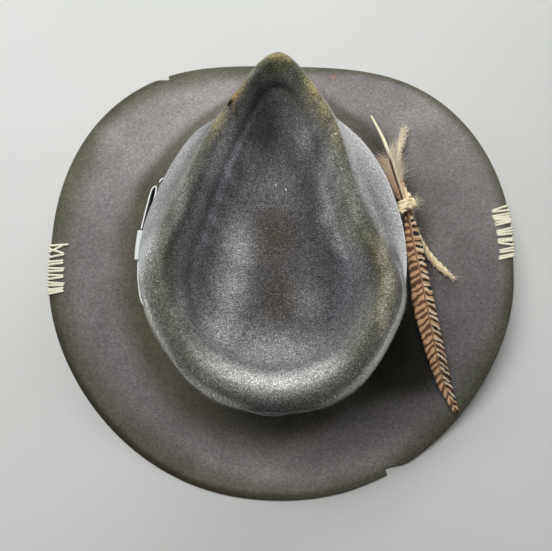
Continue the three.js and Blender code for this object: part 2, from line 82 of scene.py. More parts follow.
def rounded_copy(node, name, crease, levels, rounds=0):
    """A smooth copy of a plain solid with its crisp edges creased. Each round moves the corners out,
    so that the smooth surface meets the places where they were."""
    piece = put_in(name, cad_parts[node].data.copy())
    piece.data.materials.clear()
    pick(piece)
    bpy.ops.object.mode_set(mode="EDIT")
    bpy.ops.mesh.select_all(action="SELECT")
    bpy.ops.mesh.remove_doubles(threshold=WELD)
    bpy.ops.mesh.customdata_custom_splitnormals_clear()
    bpy.ops.mesh.tris_convert_to_quads(face_threshold=math.pi, shape_threshold=math.pi)
    bpy.ops.mesh.select_all(action="DESELECT")
    bpy.ops.mesh.select_mode(type="EDGE")
    bpy.ops.mesh.edges_select_sharp(sharpness=SHARP)
    bpy.ops.transform.edge_crease(value=crease)
    bpy.ops.object.mode_set(mode="OBJECT")
    rounding = piece.modifiers.new("rounding", "SUBSURF")
    rounding.levels = levels
    wanted = corners_of(piece.data)
    for _ in range(rounds):
        bpy.context.view_layer.update()
        smooth = piece.evaluated_get(bpy.context.evaluated_depsgraph_get())
        reached = corners_of(smooth.data)[:len(wanted)]
        moved = corners_of(piece.data) + wanted - reached
        piece.data.vertices.foreach_set("co", moved.ravel())
        piece.data.update()
    bpy.ops.object.modifier_apply(modifier=rounding.name)
    bpy.ops.object.shade_smooth()
    return piece


felt = rounded_copy("felt_body", "felt_hat", crease=0.75, levels=2, rounds=3)
onto_hat(felt, "felt", "felt_body")


def shade(red, green, blue):
    """A colour as seen on a screen, 0 to 255, made linear."""
    parts = [value / 255 for value in (red, green, blue)]
    linear = [p / 12.92 if p <= 0.04045 else ((p + 0.055) / 1.055) ** 2.4 for p in parts]
    return np.array(linear)


def ease(value, start, end):
    share = np.clip((value - start) / (end - start), 0, 1)
    return share * share * (3 - 2 * share)


def over(length, span):
    """How far a length has come over a span in millimetres, from 0 to 1."""
    return ease(length, span[0] * MM, span[1] * MM)


def polar(places):
    bearing = np.degrees(np.arctan2(places[:, 0], places[:, 1] + CROWN_BACK))
    return bearing, np.hypot(places[:, 0], places[:, 1] + CROWN_BACK)


# Lines of the felt by bearing, read off the mesh: the brim's edge and the crown's ridge.
SECTOR = 3                   # degrees
SECTOR_SHARE = 0.7           # corners within this share of a sector count for it
felt_places = corners_of(felt.data)
felt_bearing, felt_reach = polar(felt_places)
felt_rise = felt_places[:, 2] - BREAK
sectors = np.arange(-180, 180, SECTOR)
edge_line = []
ridge_line = []
for sector in sectors:
    turn = (felt_bearing - sector + 180) % 360 - 180
    near = np.abs(turn) <= SECTOR * SECTOR_SHARE
    edge_line.append(felt_reach[near].max())
    ridge_line.append(felt_reach[np.argmax(np.where(near, felt_rise, -1))])


def by_bearing(line):
    return np.interp(felt_bearing, sectors, line, period=360)


# Zones of the felt, each with its colour, washed over one another from the brim to the crown.
BRIM_GREY = shade(137, 132, 131)
EDGE_OLIVE = shade(90, 90, 72)
RIM_BROWN = shade(50, 43, 32)
FOOT_OLIVE = shade(70, 67, 52)
WALL_GREY = shade(147, 149, 150)
TOP_CHARCOAL = shade(88, 89, 92)
RIDGE_OLIVE = shade(94, 93, 78)
SCORCH = shade(176, 142, 70)
STRAW_OLIVE = shade(174, 161, 112)
STAIN_BROWN = shade(78, 70, 61)
MOSS = shade(80, 88, 58)
FROST_GREY = shade(198, 199, 196)
RIM_SHEEN_WHITE = shade(252, 250, 243)
CHAR = shade(16, 12, 9)
RUST_TAN = shade(196, 138, 88)
OVAL = (85 * MM, 101 * MM)   # half the crown's breadth and length at its foot
# Spans in millimetres over which zones meet: out from the foot, in over the ridge, and up the wall.
FOOT_TURN = (2, 6)
TOP_TURN = (-5, 3)
TOP_RISE = (40, 60)

inside_edge = by_bearing(edge_line) - felt_reach
inside_ridge = by_bearing(ridge_line) - felt_reach
felt_turn = np.radians(felt_bearing)
oval_reach = 1 / np.hypot(np.sin(felt_turn) / OVAL[0], np.cos(felt_turn) / OVAL[1])
outside_foot = felt_reach - oval_reach
on_crown = 1 - over(outside_foot, FOOT_TURN)
on_top = over(inside_ridge, TOP_TURN) * over(felt_rise, TOP_RISE)


def wash(colours, colour, amount):
    return colours + (colour - colours) * np.asarray(amount)[:, None]


def from_rows(rows, column):
    """A column of a table of bearings, read between its rows for all of the felt."""
    return np.interp(felt_bearing, [row[0] for row in rows], [row[column] for row in rows], period=360)


# Dirt and painted light on the brim by bearing: its lightness, painted light and shade; where the dark at
# the crown's foot is full and where it ends, its strength and lightness, olive dirt with painted shade; the
# breadth of the dirt at the edge; the darkness of the cut edge, brown with painted shade.
BRIM_COLUMNS = ("bearing", "light", "foot_full", "foot_end", "foot", "foot_light", "edge", "rim")
BRIM_DIRT_AND_PAINTED_LIGHT = [
    (-165, 1.2, 14, 42, 0.9, 1.0, 26, 0.9), (-150, 0.82, 20, 42, 0.85, 1.3, 30, 1.0),
    (-125, 0.95, 20, 40, 0.9, 1.3, 30, 0.95), (-90, 0.75, 16, 44, 0.85, 1.3, 19, 0.3),
    (-62, 0.96, 27, 40, 0.9, 1.2, 32, 0.2), (-52, 1.12, 28, 40, 0.85, 1.2, 14, 0.35),
    (-40, 1.2, 28, 40, 0.8, 1.2, 22, 0.5), (-25, 1.3, 36, 44, 0.75, 1.2, 24, 0.3),
    (0, 1.2, 50, 70, 0.5, 1.2, 12, 0), (22, 1.02, 34, 44, 0.75, 1.1, 9, 0.1),
    (40, 1.28, 24, 50, 0.85, 1.1, 8, 0.1), (60, 0.8, 16, 40, 0.75, 1.0, 11, 0.1),
    (95, 0.62, 14, 30, 0.9, 0.6, 8, 0.35), (110, 0.6, 16, 34, 1.0, 0.3, 16, 0.3),
    (120, 0.6, 34, 54, 1.0, 0.3, 20, 0.4), (127, 0.62, 44, 66, 1.0, 0.4, 20, 0.5),
    (136, 0.8, 24, 44, 1.0, 0.65, 20, 0.55), (152, 1.35, 9, 22, 0.95, 2.8, 16, 0.4),
    (180, 1.65, 12, 40, 0.95, 1.5, 20, 0.75),
]
brim = {name: from_rows(BRIM_DIRT_AND_PAINTED_LIGHT, k) for k, name in enumerate(BRIM_COLUMNS)}
# Lightness of the crown's wall by bearing, at its foot and at its top: painted light and shade, the pale
# sheen of the wall seen edge-on and how the light falls on each side.
WALL_PAINTED_LIGHT = [
    (-165, 0.4, 0.3), (-150, 0.45, 0.4), (-122, 1.1, 0.8), (-100, 2.0, 2.1), (-93, 1.6, 1.85),
    (-85, 1.2, 0.85), (-65, 1.1, 0.55), (-37, 1.6, 0.5), (0, 1.3, 0.9), (30, 2.3, 1.2), (57, 1.7, 0.92),
    (80, 1.75, 0.36), (97, 3.4, 0.12), (112, 2.0, 0.4), (125, 0.8, 0.8), (150, 0.75, 0.75),
    (165, 0.45, 0.35), (180, 0.3, 0.2),
]
WALL_RISE = (50, 82)
wall_low = from_rows(WALL_PAINTED_LIGHT, 1)
wall_high = from_rows(WALL_PAINTED_LIGHT, 2)
wall_lightness = wall_low + (wall_high - wall_low) * over(felt_rise, WALL_RISE)
# How the dirt at the edge fades over its breadth, how far in the brown of the cut edge reaches, and
# where the wall's grey starts.
EDGE_FADE = (0.15, 1)
EDGE_DIRT = 0.85
RIM_FADE = (2, 7)
WALL_START = (6, 36)

# Painted light and shade: the brim's lightness by bearing stands in for how the light falls on it.
tint = np.tile(BRIM_GREY, (len(felt_places), 1)) * brim["light"][:, None]
# Olive dirt at the crown's foot, darkened further as painted shade: the crown's contact shade all round,
# and the cast shadow of the crown and the feather at the right back.
foot_dirt_and_shade = 1 - ease(outside_foot, brim["foot_full"] * MM, brim["foot_end"] * MM)
tint = wash(tint, FOOT_OLIVE * brim["foot_light"][:, None], brim["foot"] * foot_dirt_and_shade)
at_edge = 1 - ease(inside_edge / (brim["edge"] * MM), *EDGE_FADE)
# The olive dirt at the edge also takes the painted light and shade, through the root of the brim's
# lightness.
tint = wash(tint, EDGE_OLIVE * np.sqrt(brim["light"])[:, None], EDGE_DIRT * at_edge)
# The cut edge darkened to brown, partly painted shade.
tint = wash(tint, RIM_BROWN, brim["rim"] * (1 - over(inside_edge, RIM_FADE)))
# The wall's grey, lightened and darkened by bearing as painted light and shade.
tint = wash(tint, WALL_GREY * wall_lightness[:, None], on_crown * over(felt_rise, WALL_START))
# The inner slope of the ridge by bearing, lightened with painted light: its lightness and where it ends
# inside the ridge.
SLOPE_PAINTED_LIGHT = [
    (-150, 1, 20), (-115, 1.4, 20), (-95, 2.8, 20), (-75, 3.3, 18), (-55, 3.0, 17), (-40, 5, 17),
    (-25, 6.5, 16), (-10, 5, 15), (0, 3.4, 12), (12, 2.6, 13), (25, 1.6, 16), (40, 2.4, 19),
    (60, 3.8, 18), (85, 6, 18), (100, 3.8, 20), (115, 1.4, 22), (150, 1, 20),
]
SLOPE_START = (1, 6)
SLOPE_FADE = (0.6, 1.15)     # in shares of the slope
slope_end = from_rows(SLOPE_PAINTED_LIGHT, 2) * MM
slope = over(inside_ridge, SLOPE_START) * (1 - ease(inside_ridge / slope_end, *SLOPE_FADE))
slope_lightness = 1 + (from_rows(SLOPE_PAINTED_LIGHT, 1) - 1) * slope
tint = wash(tint, TOP_CHARCOAL * slope_lightness[:, None], on_top)
# The dirt along the ridge by bearing: how far inside the ridge it lies, and its lightness.
RIDGE_DIRT = [
    (-150, -3, 1), (-125, -3, 1), (-100, -1.5, 1), (-85, -6, 0.85), (-65, -7, 0.85), (-45, -4, 1),
    (-20, 0, 1), (0, 0, 0.8), (20, 0, 1), (45, 0, 1), (80, 3, 1.6), (93, 3, 1.55), (108, 1, 0.65),
    (125, -2, 1), (180, -4, 0.9),
]
DIRT_BREADTH = 10 * MM
DIRT_AMOUNT = 0.85
RIDGE_RISE = (60, 75)
on_ridge = over(felt_rise, RIDGE_RISE)
dirt_inside = from_rows(RIDGE_DIRT, 1) * MM
ridge_near = np.exp(-((inside_ridge - dirt_inside) / DIRT_BREADTH) ** 2) * on_ridge
ridge_olive = RIDGE_OLIVE * from_rows(RIDGE_DIRT, 2)[:, None]
tint = wash(tint, ridge_olive, DIRT_AMOUNT * ridge_near)
# The crown's outer rim, washed white by bearing: a painted highlight for the sheen of its fuzz.
RIM_SHEEN = [
    (-175, 0), (-162, 0.5), (-145, 0.05), (-125, 0.7), (-112, 0.4), (-104, 0), (104, 0), (114, 0.9),
    (144, 1.0), (155, 0.4), (165, 0),
]
RIM_OUTSIDE = (-7, -4)
RIM_FROM = (76, 84)
RIM_TO = (91, 93.5)
outside = 1 - over(inside_ridge, RIM_OUTSIDE)
rim_height = over(felt_rise, RIM_FROM) * (1 - over(felt_rise, RIM_TO))
rim_sheen = from_rows(RIM_SHEEN, 1) * rim_height * outside
# The nap is pressed flat high on the wall at the right.
PRESSED_BEARING = 98
PRESSED_BREADTH = 6
PRESSED_RISE = (60, 70)
flat_turn = np.exp(-((felt_bearing - PRESSED_BEARING) / PRESSED_BREADTH) ** 2)
pressed = flat_turn * outside * over(felt_rise, PRESSED_RISE)

# Places on the crown's top, in millimetres: ones rubbed white, then painted shade in the dent's channels
# and hollows, then brown, mossy, straw-coloured, singed and burnt ones.
MARK_COLUMNS = ("x", "y", "wide", "long", "amount")
RUBBED = [
    (-21, -8, 8, 15, 0.5), (-24, -31, 9, 15, 0.5), (-28, -54, 12, 13, 0.5), (1, -62, 27, 11, 0.45),
    (18, -38, 9, 12, 0.25), (41, 9, 4.5, 13, 0.35), (34.5, 23, 4.5, 12, 0.3), (28.5, 38, 4.5, 11, 0.3),
    (16, 57, 6, 9, 0.23), (-1, 27, 12, 14, 0.12), (60, -9, 3.5, 9, 0.42), (62, -28, 3.5, 10, 0.42),
    (59.3, -43.5, 2.6, 9, 0.55), (-50, -40, 4, 14, 0.25), (-52, 18, 4, 22, 0.2), (-10, 83, 10, 4, 0.12),
]
SHADE_MARKS = [
    (-4, 77, 10, 6, 0.85), (-7, 68, 9, 9, 1.0), (-7, 57, 11, 11, 1.0), (-7, 40, 10, 13, 0.55),
    (-21, 36, 5, 8, 0.7), (-1, -8, 9, 11, 0.25), (31, -9, 7, 13, 0.35), (-57, -42, 4, 10, 0.3),
    (-46, -60, 6, 8, 0.5), (0, -94.5, 20, 5, 0.85), (55, -22, 4, 8, 0.45), (-28, 25.5, 5, 8, 0.75),
    (-32.5, 14, 5, 8, 0.8), (-36.5, 2, 4.5, 9, 0.65), (-40, -11, 4.5, 10, 0.62),
    (-43, -24, 5, 11, 0.55), (-45, -38, 6, 12, 0.35), (10, 40, 6, 8, 0.45), (16.5, 27.5, 6, 8, 0.6),
    (23, 15, 6.5, 9, 0.65), (30, 3, 7, 9, 0.7), (31, -32, 8, 18, 0.25), (-57, -30, 4, 12, 0.35),
    (-24, -65, 1.5, 1.5, 0.8),
]
BROWN = [(3.5, -36, 13, 18, 0.85), (-1, 0, 14, 22, 0.92), (-8, -18, 8, 12, 0.4)]
MOSSY = [(-1, 88.5, 13, 4.5, 0.85), (9, 82, 6, 6, 0.6), (-13, 82, 5, 6, 0.3)]
STRAW = [
    (-22, 80, 5, 10, 0.5), (19, 77, 5, 8, 0.82), (25, 68, 4.5, 9, 0.55), (33, 56, 5, 10, 0.4),
    (-33, 58, 5, 9, 0.4), (58, -12, 4, 14, 0.3), (62, -28, 4, 10, 0.6), (59, -43.5, 3.5, 9, 0.6),
    (-1, 94, 10, 3.5, 0.7),
]
SINGED = [(-25, 72.4, 2.6, 3.4, 1.0), (-23.9, 65, 1, 4, 0.5), (60, -6, 3, 8, 0.25)]
BURNT = [(-26.5, 68.2, 1.9, 3.6, 1.0), (-22.7, 64.5, 0.8, 4, 0.6)]


def mark_amount(marks, where):
    total = np.zeros(len(felt_places))
    for row in marks:
        mark = dict(zip(MARK_COLUMNS, row))
        across = (felt_places[:, 0] - mark["x"] * MM) / (mark["wide"] * MM)
        along = (felt_places[:, 1] - mark["y"] * MM) / (mark["long"] * MM)
        total = np.maximum(total, mark["amount"] * np.exp(-(across ** 2 + along ** 2)))
    return total * where


# The rubbed arc at the back by bearing: its strength and how far inside the ridge it lies.
ARC = [
    (-180, 1.0, 2.4), (-165, 0.85, 3.2), (-152, 0.44, 2.8), (-140, 0.14, 3.2), (-120, 0.06, 3),
    (-100, 0, 4), (100, 0, 4), (125, 0.1, 4), (146, 0.12, 4.4), (154, 0.45, 4.4), (162, 0.8, 4.4),
    (172, 0.95, 3.2),
]
ARC_OUTSIDE = 7.8 * MM       # the arc's breadth on its outer and its inner side
ARC_INSIDE = 4.8 * MM
TOP_HIGH = (55, 70)
# The dark places are painted shade; these are the lightness that it keeps on the crown's top and on the
# brim.
DARKEST = 0.2                # lightness that the dark places and the dull ones keep
BRIM_SHADE_LIGHTNESS = 0.45
FROST_AMOUNT = 0.92
off_arc = inside_ridge - from_rows(ARC, 2) * MM
arc_breadth = np.where(off_arc < 0, ARC_OUTSIDE, ARC_INSIDE)
arc = from_rows(ARC, 1) * np.exp(-(off_arc / arc_breadth) ** 2) * on_ridge
high = over(felt_rise, TOP_HIGH)
frost = np.maximum(mark_amount(RUBBED, high), arc)
painted_shade = mark_amount(SHADE_MARKS, high)
brown = mark_amount(BROWN, high)
# Painted shade: the dent's channels and hollows darkened.
tint = wash(tint, TOP_CHARCOAL * DARKEST, painted_shade)
tint = wash(tint, STAIN_BROWN, brown)
for colour, marks in ((MOSS, MOSSY), (STRAW_OLIVE, STRAW), (SCORCH, SINGED), (CHAR, BURNT)):
    tint = wash(tint, colour, mark_amount(marks, high))
# Painted shade on the brim at the right front, and a rust spot on the brim.
BRIM_SHADE = [(74, 100, 30, 26, 0.6), (106, 58, 24, 30, 0.4), (116, 106, 20, 20, 0.4)]
RUST = [(41.2, 160.1, 1.5, 1.5, 0.9)]
tint = wash(tint, tint * BRIM_SHADE_LIGHTNESS, mark_amount(BRIM_SHADE, 1 - on_crown))
tint = wash(tint, RUST_TAN, mark_amount(RUST, 1 - on_crown))
tint = wash(tint, FROST_GREY, FROST_AMOUNT * frost)
# Painted highlight: the crown's outer rim washed white.
tint = wash(tint, RIM_SHEEN_WHITE, rim_sheen)
# The depth of the grain and the light that the nap catches: on the brim, and what each zone adds.
WALL_FROM = (10, 30)
LOW_WALL_TO = (62, 78)
wall_grain = on_crown * (1 - on_top) * over(felt_rise, WALL_FROM)
low_wall = wall_grain * (1 - over(felt_rise, LOW_WALL_TO))
BRIM_GRAIN = 0.42
GRAIN_GAINS = ((0.58, on_crown), (-0.3, wall_grain))
BRIM_NAP = 0.55
NAP_GAINS = (
    (0.12, wall_grain), (0.35, low_wall), (0.9, rim_sheen), (-0.38, pressed), (-0.42, painted_shade), (-0.2, brown),
)
grain = BRIM_GRAIN + sum(gain * zone for gain, zone in GRAIN_GAINS)
nap = BRIM_NAP + sum(gain * zone for gain, zone in NAP_GAINS)


def lay_attribute(piece, name, values):
    layer = piece.data.attributes.new(name, "FLOAT", "POINT")
    layer.data.foreach_set("value", np.asarray(values, dtype=np.float32))


def lay_colour(piece, name, colours):
    layer = piece.data.attributes.new(name, "FLOAT_COLOR", "POINT")
    full = np.ones((len(colours), 4), dtype=np.float32)
    full[:, :3] = colours
    layer.data.foreach_set("color", full.ravel())


lay_colour(felt, "tint", tint)
lay_attribute(felt, "grain", grain)
lay_attribute(felt, "wall", wall_grain)
lay_attribute(felt, "nap", nap)


def node_in(tree, kind, inputs=None, **settings):
    """Adds a node; an input is a plain value or another node's output socket."""
    made = tree.nodes.new(kind)
    for name, value in settings.items():
        setattr(made, name, value)
    for name, value in (inputs or {}).items():
        if isinstance(value, bpy.types.NodeSocket):
            tree.links.new(value, made.inputs[name])
        else:
            made.inputs[name].default_value = value
    return made


def sum_of(tree, operation, first, second=0.0, third=0.0):
    made = node_in(tree, "ShaderNodeMath", {0: first, 1: second, 2: third}, operation=operation)
    return made.outputs[0]


def blend_of(tree, amount, first, second):
    """Mixes two colours; each is a socket or a linear colour."""
    ends = [value if isinstance(value, bpy.types.NodeSocket) else (*value, 1) for value in (first, second)]
    made = node_in(tree, "ShaderNodeMix", {0: amount, 6: ends[0], 7: ends[1]}, data_type="RGBA")
    return made.outputs[2]


def dimmed(tree, colour, level):
    made = node_in(tree, "ShaderNodeVectorMath", {0: colour, 1: level}, operation="MULTIPLY")
    return made.outputs[0]


def spread_of(tree, value, low, high, start=0.0, end=1.0):
    made = node_in(tree, "ShaderNodeMapRange", {0: value, 1: low, 2: high, 3: start, 4: end})
    return made.outputs[0]


def noise_of(tree, place, scale, detail=2.0, roughness=0.5, distortion=0.0):
    made = node_in(tree, "ShaderNodeTexNoise", {
        "Vector": place, "Scale": scale, "Detail": detail, "Roughness": roughness, "Distortion": distortion,
    })
    return made.outputs[0]


NOISE_SPAN = (0.3, 0.7)      # nearly all values of a noise lie in it


def swing_of(tree, noise, amount):
    return spread_of(tree, noise, *NOISE_SPAN, -amount, amount)


def place_of(tree):
    return node_in(tree, "ShaderNodeTexCoord").outputs["Object"]


def attribute_of(tree, name, output="Fac"):
    return node_in(tree, "ShaderNodeAttribute", attribute_name=name).outputs[output]


def new_finish(name, **constants):
    finish = bpy.data.materials.new(name)
    finish.use_nodes = True
    tree = finish.node_tree
    shader = tree.nodes["Principled BSDF"]
    for socket, value in constants.items():
        shader.inputs[socket.replace("_", " ")].default_value = value
    return finish, tree, shader


def roughen(tree, shader, height, strength, depth):
    bump = node_in(tree, "ShaderNodeBump", {"Strength": strength, "Distance": depth, "Height": height})
    tree.links.new(bump.outputs[0], shader.inputs["Normal"])


felt_finish, tree, shader = new_finish("wool_felt", Roughness=0.95, Sheen_Roughness=0.3)
place = place_of(tree)
hairs = noise_of(tree, place, 1400, 1)
tufts = noise_of(tree, place, 420)
matted = noise_of(tree, place, 260, distortion=2.5)
clouds = noise_of(tree, place, 45, 3)
upright = node_in(tree, "ShaderNodeMapping", {"Vector": place, "Scale": (1, 1, 0.22)}).outputs[0]
brushed = swing_of(tree, noise_of(tree, upright, 1100), 0.8)
level = sum_of(tree, "MULTIPLY", swing_of(tree, hairs, 1.0), attribute_of(tree, "grain"))
level = sum_of(tree, "MULTIPLY_ADD", brushed, attribute_of(tree, "wall"), level)
for noise, swing in ((tufts, 0.2), (matted, 0.17), (clouds, 0.15)):
    level = sum_of(tree, "ADD", level, swing_of(tree, noise, swing))
level = sum_of(tree, "POWER", 2.2, level)
heathered = dimmed(tree, attribute_of(tree, "tint", "Color"), level)
tree.links.new(heathered, shader.inputs["Base Color"])
tree.links.new(sum_of(tree, "MULTIPLY", level, attribute_of(tree, "nap")), shader.inputs["Sheen Weight"])
roughen(tree, shader, sum_of(tree, "ADD", hairs, tufts), 0.4, 0.4 * MM)
felt.data.materials.append(felt_finish)

# Wool fuzz: short fibres that stand out of the felt, most on the crown, where it is rubbed.
# They are single hairs, so each is a fine tapered thread rooted in the felt.
chance = np.random.default_rng(11)


def unit(vectors):
    return vectors / np.linalg.norm(vectors, axis=-1, keepdims=True)


def lengths_along(lines):
    """Lengths from the first point of each line to all its points."""
    steps = np.linalg.norm(np.diff(lines, axis=-2), axis=-1)
    return np.concatenate([np.zeros_like(steps[..., :1]), np.cumsum(steps, axis=-1)], axis=-1)


def frames_along(lines, up=None):
    """Unit directions along and across lines of points, strands x points x 3."""
    along = unit(np.gradient(lines, axis=1))
    if up is None:
        up = np.where(np.abs(along[:, :1, 2]) < 0.9, [[0.0, 0.0, 1.0]], [[1.0, 0.0, 0.0]])
    normal = np.array(up, dtype=float)
    normals = np.empty_like(lines)
    for k in range(lines.shape[1]):
        normal = unit(normal - along[:, k] * np.sum(normal * along[:, k], axis=1, keepdims=True))
        normals[:, k] = normal
    return along, normals, np.cross(along, normals)


def strand_mesh(name, lines, radii, sides, up=None, flat=1.0, runs=None):
    """Tapered threads as one mesh. Its UV map runs along each thread, or holds the runs given."""
    lines = np.asarray(lines, dtype=float)
    radii = np.broadcast_to(np.asarray(radii, dtype=float), lines.shape[:2])
    strands, points, _ = lines.shape
    _, normals, sideways = frames_along(lines, up)
    angles = 2 * np.pi * np.arange(sides) / sides
    ring = normals[:, :, None] * (flat * np.cos(angles))[:, None]
    ring = ring + sideways[:, :, None] * np.sin(angles)[:, None]
    vertices = lines[:, :, None] + ring * radii[:, :, None, None]
    index = np.arange(strands * points * sides).reshape(strands, points, sides)
    near, far = index[:, :-1], index[:, 1:]
    walls = np.stack([near, np.roll(near, -1, 2), np.roll(far, -1, 2), far], axis=-1).reshape(-1, 4)
    starts = index[:, 0, ::-1]
    ends = index[:, -1]
    mesh = bpy.data.meshes.new(name)
    mesh.from_pydata(vertices.reshape(-1, 3), [], [*walls.tolist(), *starts.tolist(), *ends.tolist()])
    mesh.polygons.foreach_set("use_smooth", np.ones(len(mesh.polygons), dtype=bool))
    grid = np.empty((strands, points, sides + 1, 2))
    if runs is None:
        grid[..., 0] = lengths_along(lines)[:, :, None]
        grid[..., 1] = np.arange(sides + 1) / sides
    else:
        grid[:] = np.asarray(runs)[:, :, None]
    corners = np.stack([grid[:, :-1, :-1], grid[:, :-1, 1:], grid[:, 1:, 1:], grid[:, 1:, :-1]], axis=-2)
    caps = np.zeros((2 * strands * sides, 2))
    layer = mesh.uv_layers.new(name="run")
    layer.data.foreach_set("uv", np.concatenate([corners.reshape(-1, 2), caps]).astype(np.float32).ravel())
    return put_in(name, mesh)


FUZZ_LENGTH = (0.5 * MM, 1.9 * MM)
FUZZ_LEAN = 0.75             # how far fibres stray from upright at the root, and from there on
FUZZ_CURL = 0.5
FUZZ_TAPER = np.array([1.0, 0.8, 0.25])
FUZZ_SIDES = 3
FUZZ_LIFT = 0.02             # added to the felt's colour, so that dark places have pale hairs
FACING_UP = 0.25             # the felt's upper side, and its outer side where it stands
FACING_DOWN = -0.3
FACING_OUT = 0.5
LOWEST = 0.1 * MM            # no fibre reaches lower than this above the floor
felt.data.calc_loop_triangles()
triangles = np.empty(len(felt.data.loop_triangles) * 3, dtype=np.int32)
felt.data.loop_triangles.foreach_get("vertices", triangles)
triangles = triangles.reshape(-1, 3)
spots = felt_places[triangles]
facing = np.cross(spots[:, 1] - spots[:, 0], spots[:, 2] - spots[:, 0])
area = np.linalg.norm(facing, axis=1) / 2
facing = unit(facing)
middle = spots.mean(axis=1)
outward = np.sum(facing[:, :2] * middle[:, :2], axis=1) / np.linalg.norm(middle[:, :2], axis=1)
shown = (facing[:, 2] > FACING_UP) | ((facing[:, 2] > FACING_DOWN) & (outward > FACING_OUT))
fuzz_finish, tree, shader = new_finish("loose_wool", Roughness=0.9)
tree.links.new(attribute_of(tree, "tint", "Color"), shader.inputs["Base Color"])


def wool_fuzz(name, count, where, radius, lightness):
    """Fibres spread over the felt where the weights say, in the colour of the felt at their roots."""
    weight = area * shown * where[triangles[:, 0]]
    picked = chance.choice(len(triangles), count, p=weight / weight.sum())
    share = chance.dirichlet((1, 1, 1), count)
    roots = np.einsum("nk,nkj->nj", share, spots[picked])
    lean = unit(facing[picked] + chance.normal(0, FUZZ_LEAN, (count, 3)))
    curl = unit(lean + chance.normal(0, FUZZ_CURL, (count, 3)))
    half = chance.uniform(*FUZZ_LENGTH, (count, 1)) / 2
    lines = np.stack([roots, roots + lean * half, roots + lean * half + curl * half], axis=1)
    lines[:, :, 2] = np.maximum(lines[:, :, 2], LOWEST)
    fuzz = strand_mesh(name, lines, FUZZ_TAPER * radius, FUZZ_SIDES)
    onto_hat(fuzz, "felt")
    corners = len(FUZZ_TAPER) * FUZZ_SIDES
    fuzz_tint = np.repeat(tint[triangles[picked, 0]], corners, axis=0)
    fuzz_tint = fuzz_tint * np.repeat(chance.uniform(*lightness, count), corners)[:, None] + FUZZ_LIFT
    lay_colour(fuzz, "tint", fuzz_tint)
    fuzz.data.materials.append(fuzz_finish)


crown_share = on_crown * (0.4 + 0.6 * wall_grain)
wool_fuzz("crown_fuzz", count=13500, where=crown_share, radius=0.034 * MM, lightness=(0.8, 1.8))
wool_fuzz("rim_fuzz", count=10000, where=rim_sheen, radius=0.055 * MM, lightness=(0.9, 1.0))
wool_fuzz("brim_fuzz", count=7000, where=1 - on_crown, radius=0.028 * MM, lightness=(0.8, 1.9))

# Hat band: grosgrain ribbon with pale selvedges, wrapped around the foot of the crown and joined
# under the bow. Its upper edge has come loose and stands off at the back.
BAND_REACH = 95 * MM
RIB_PITCH = 1.1 * MM
RIBBON_GREY = shade(92, 94, 98)
SELVEDGE = shade(248, 251, 245)


def run_around(piece, node):
    """UV for a ribbon that goes around the crown: metres along it, and 0 to 1 up it."""
    low, high = (corner[2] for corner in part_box(node))
    places = corners_of(piece.data)
    bearing, _ = polar(places)
    corners = []
    for polygon in piece.data.polygons:
        turn = bearing[list(polygon.vertices)]
        if turn.max() - turn.min() > 180:
            turn = np.where(turn < 0, turn + 360, turn)
        up = (places[list(polygon.vertices), 2] - low) / (high - low)
        corners.append(np.stack([np.radians(turn) * BAND_REACH, up], axis=1))
    while piece.data.uv_layers:
        piece.data.uv_layers.remove(piece.data.uv_layers[0])
    layer = piece.data.uv_layers.new(name="run")
    layer.data.foreach_set("uv", np.concatenate(corners).astype(np.float32).ravel())


def run_parts(tree):
    """The UV map's two lengths, along and across a ribbon or a thread."""
    run = node_in(tree, "ShaderNodeUVMap", uv_map="run").outputs[0]
    return node_in(tree, "ShaderNodeSeparateXYZ", {0: run}).outputs[:2]


SELVEDGE_IN = 0.45           # shares of the breadth from the middle at which a selvedge starts and is full
SELVEDGE_OUT = 0.47


def ribbon_finish(name, face, selvedge):
    finish, tree, shader = new_finish(name, Roughness=0.75, Sheen_Weight=0.15)
    run, up = run_parts(tree)
    place = place_of(tree)
    rib = sum_of(tree, "SINE", sum_of(tree, "MULTIPLY", run, 2 * math.pi / RIB_PITCH))
    threads = noise_of(tree, place, 1800)
    level = spread_of(tree, rib, -1, 1, 0.72, 1.1)
    level = sum_of(tree, "ADD", level, swing_of(tree, noise_of(tree, place, 130, 3), 0.15))
    level = sum_of(tree, "ADD", level, swing_of(tree, threads, 0.12))
    off_middle = sum_of(tree, "ABSOLUTE", sum_of(tree, "SUBTRACT", up, 0.5))
    edge = spread_of(tree, off_middle, SELVEDGE_IN, SELVEDGE_OUT)
    woven = blend_of(tree, edge, dimmed(tree, tuple(face), level), selvedge)
    tree.links.new(woven, shader.inputs["Base Color"])
    roughen(tree, shader, sum_of(tree, "ADD", rib, threads), 0.5, 0.15 * MM)
    return finish


ribbon = ribbon_finish("grosgrain", RIBBON_GREY, SELVEDGE)
band = rounded_copy("hat_band", "ribbon_band", crease=0.9, levels=2)
run_around(band, "hat_band")
band.data.materials.append(ribbon)
onto_hat(band, "ribbon", "hat_band")

# Bow: the same ribbon folded flat into two loops and a tail, standing on edge at the wearer's left.
# A paler piece of ribbon, the keeper, is wrapped upright around its middle.
BOW_LOW = 6.5 * MM
BOW_HIGH = 30.5 * MM
RIBBON = 0.8 * MM
BOW_SHARP = math.radians(50)
BOW_STEPS = 48
BOW_ROWS = 10
# Folds of the ribbon seen from above: bearings in degrees and reaches in millimetres.
FRONT_LOOP = [
    (-79.4, 89.9), (-70, 91.7), (-62, 95.2), (-60.8, 96.6), (-62, 97.9), (-70, 95.4), (-79.4, 94.0),
]
FRONT_TAIL = [(-76, 89.0), (-66, 90.7), (-57.4, 93.9), (-56.2, 95.2), (-57.2, 96.4), (-58.6, 96.2)]
BACK_LOOP = [
    (-93.6, 89.4), (-102, 89.4), (-110.6, 91.2), (-112.2, 92.8), (-110.6, 94.4), (-102, 93.9),
    (-93.6, 93.2),
]


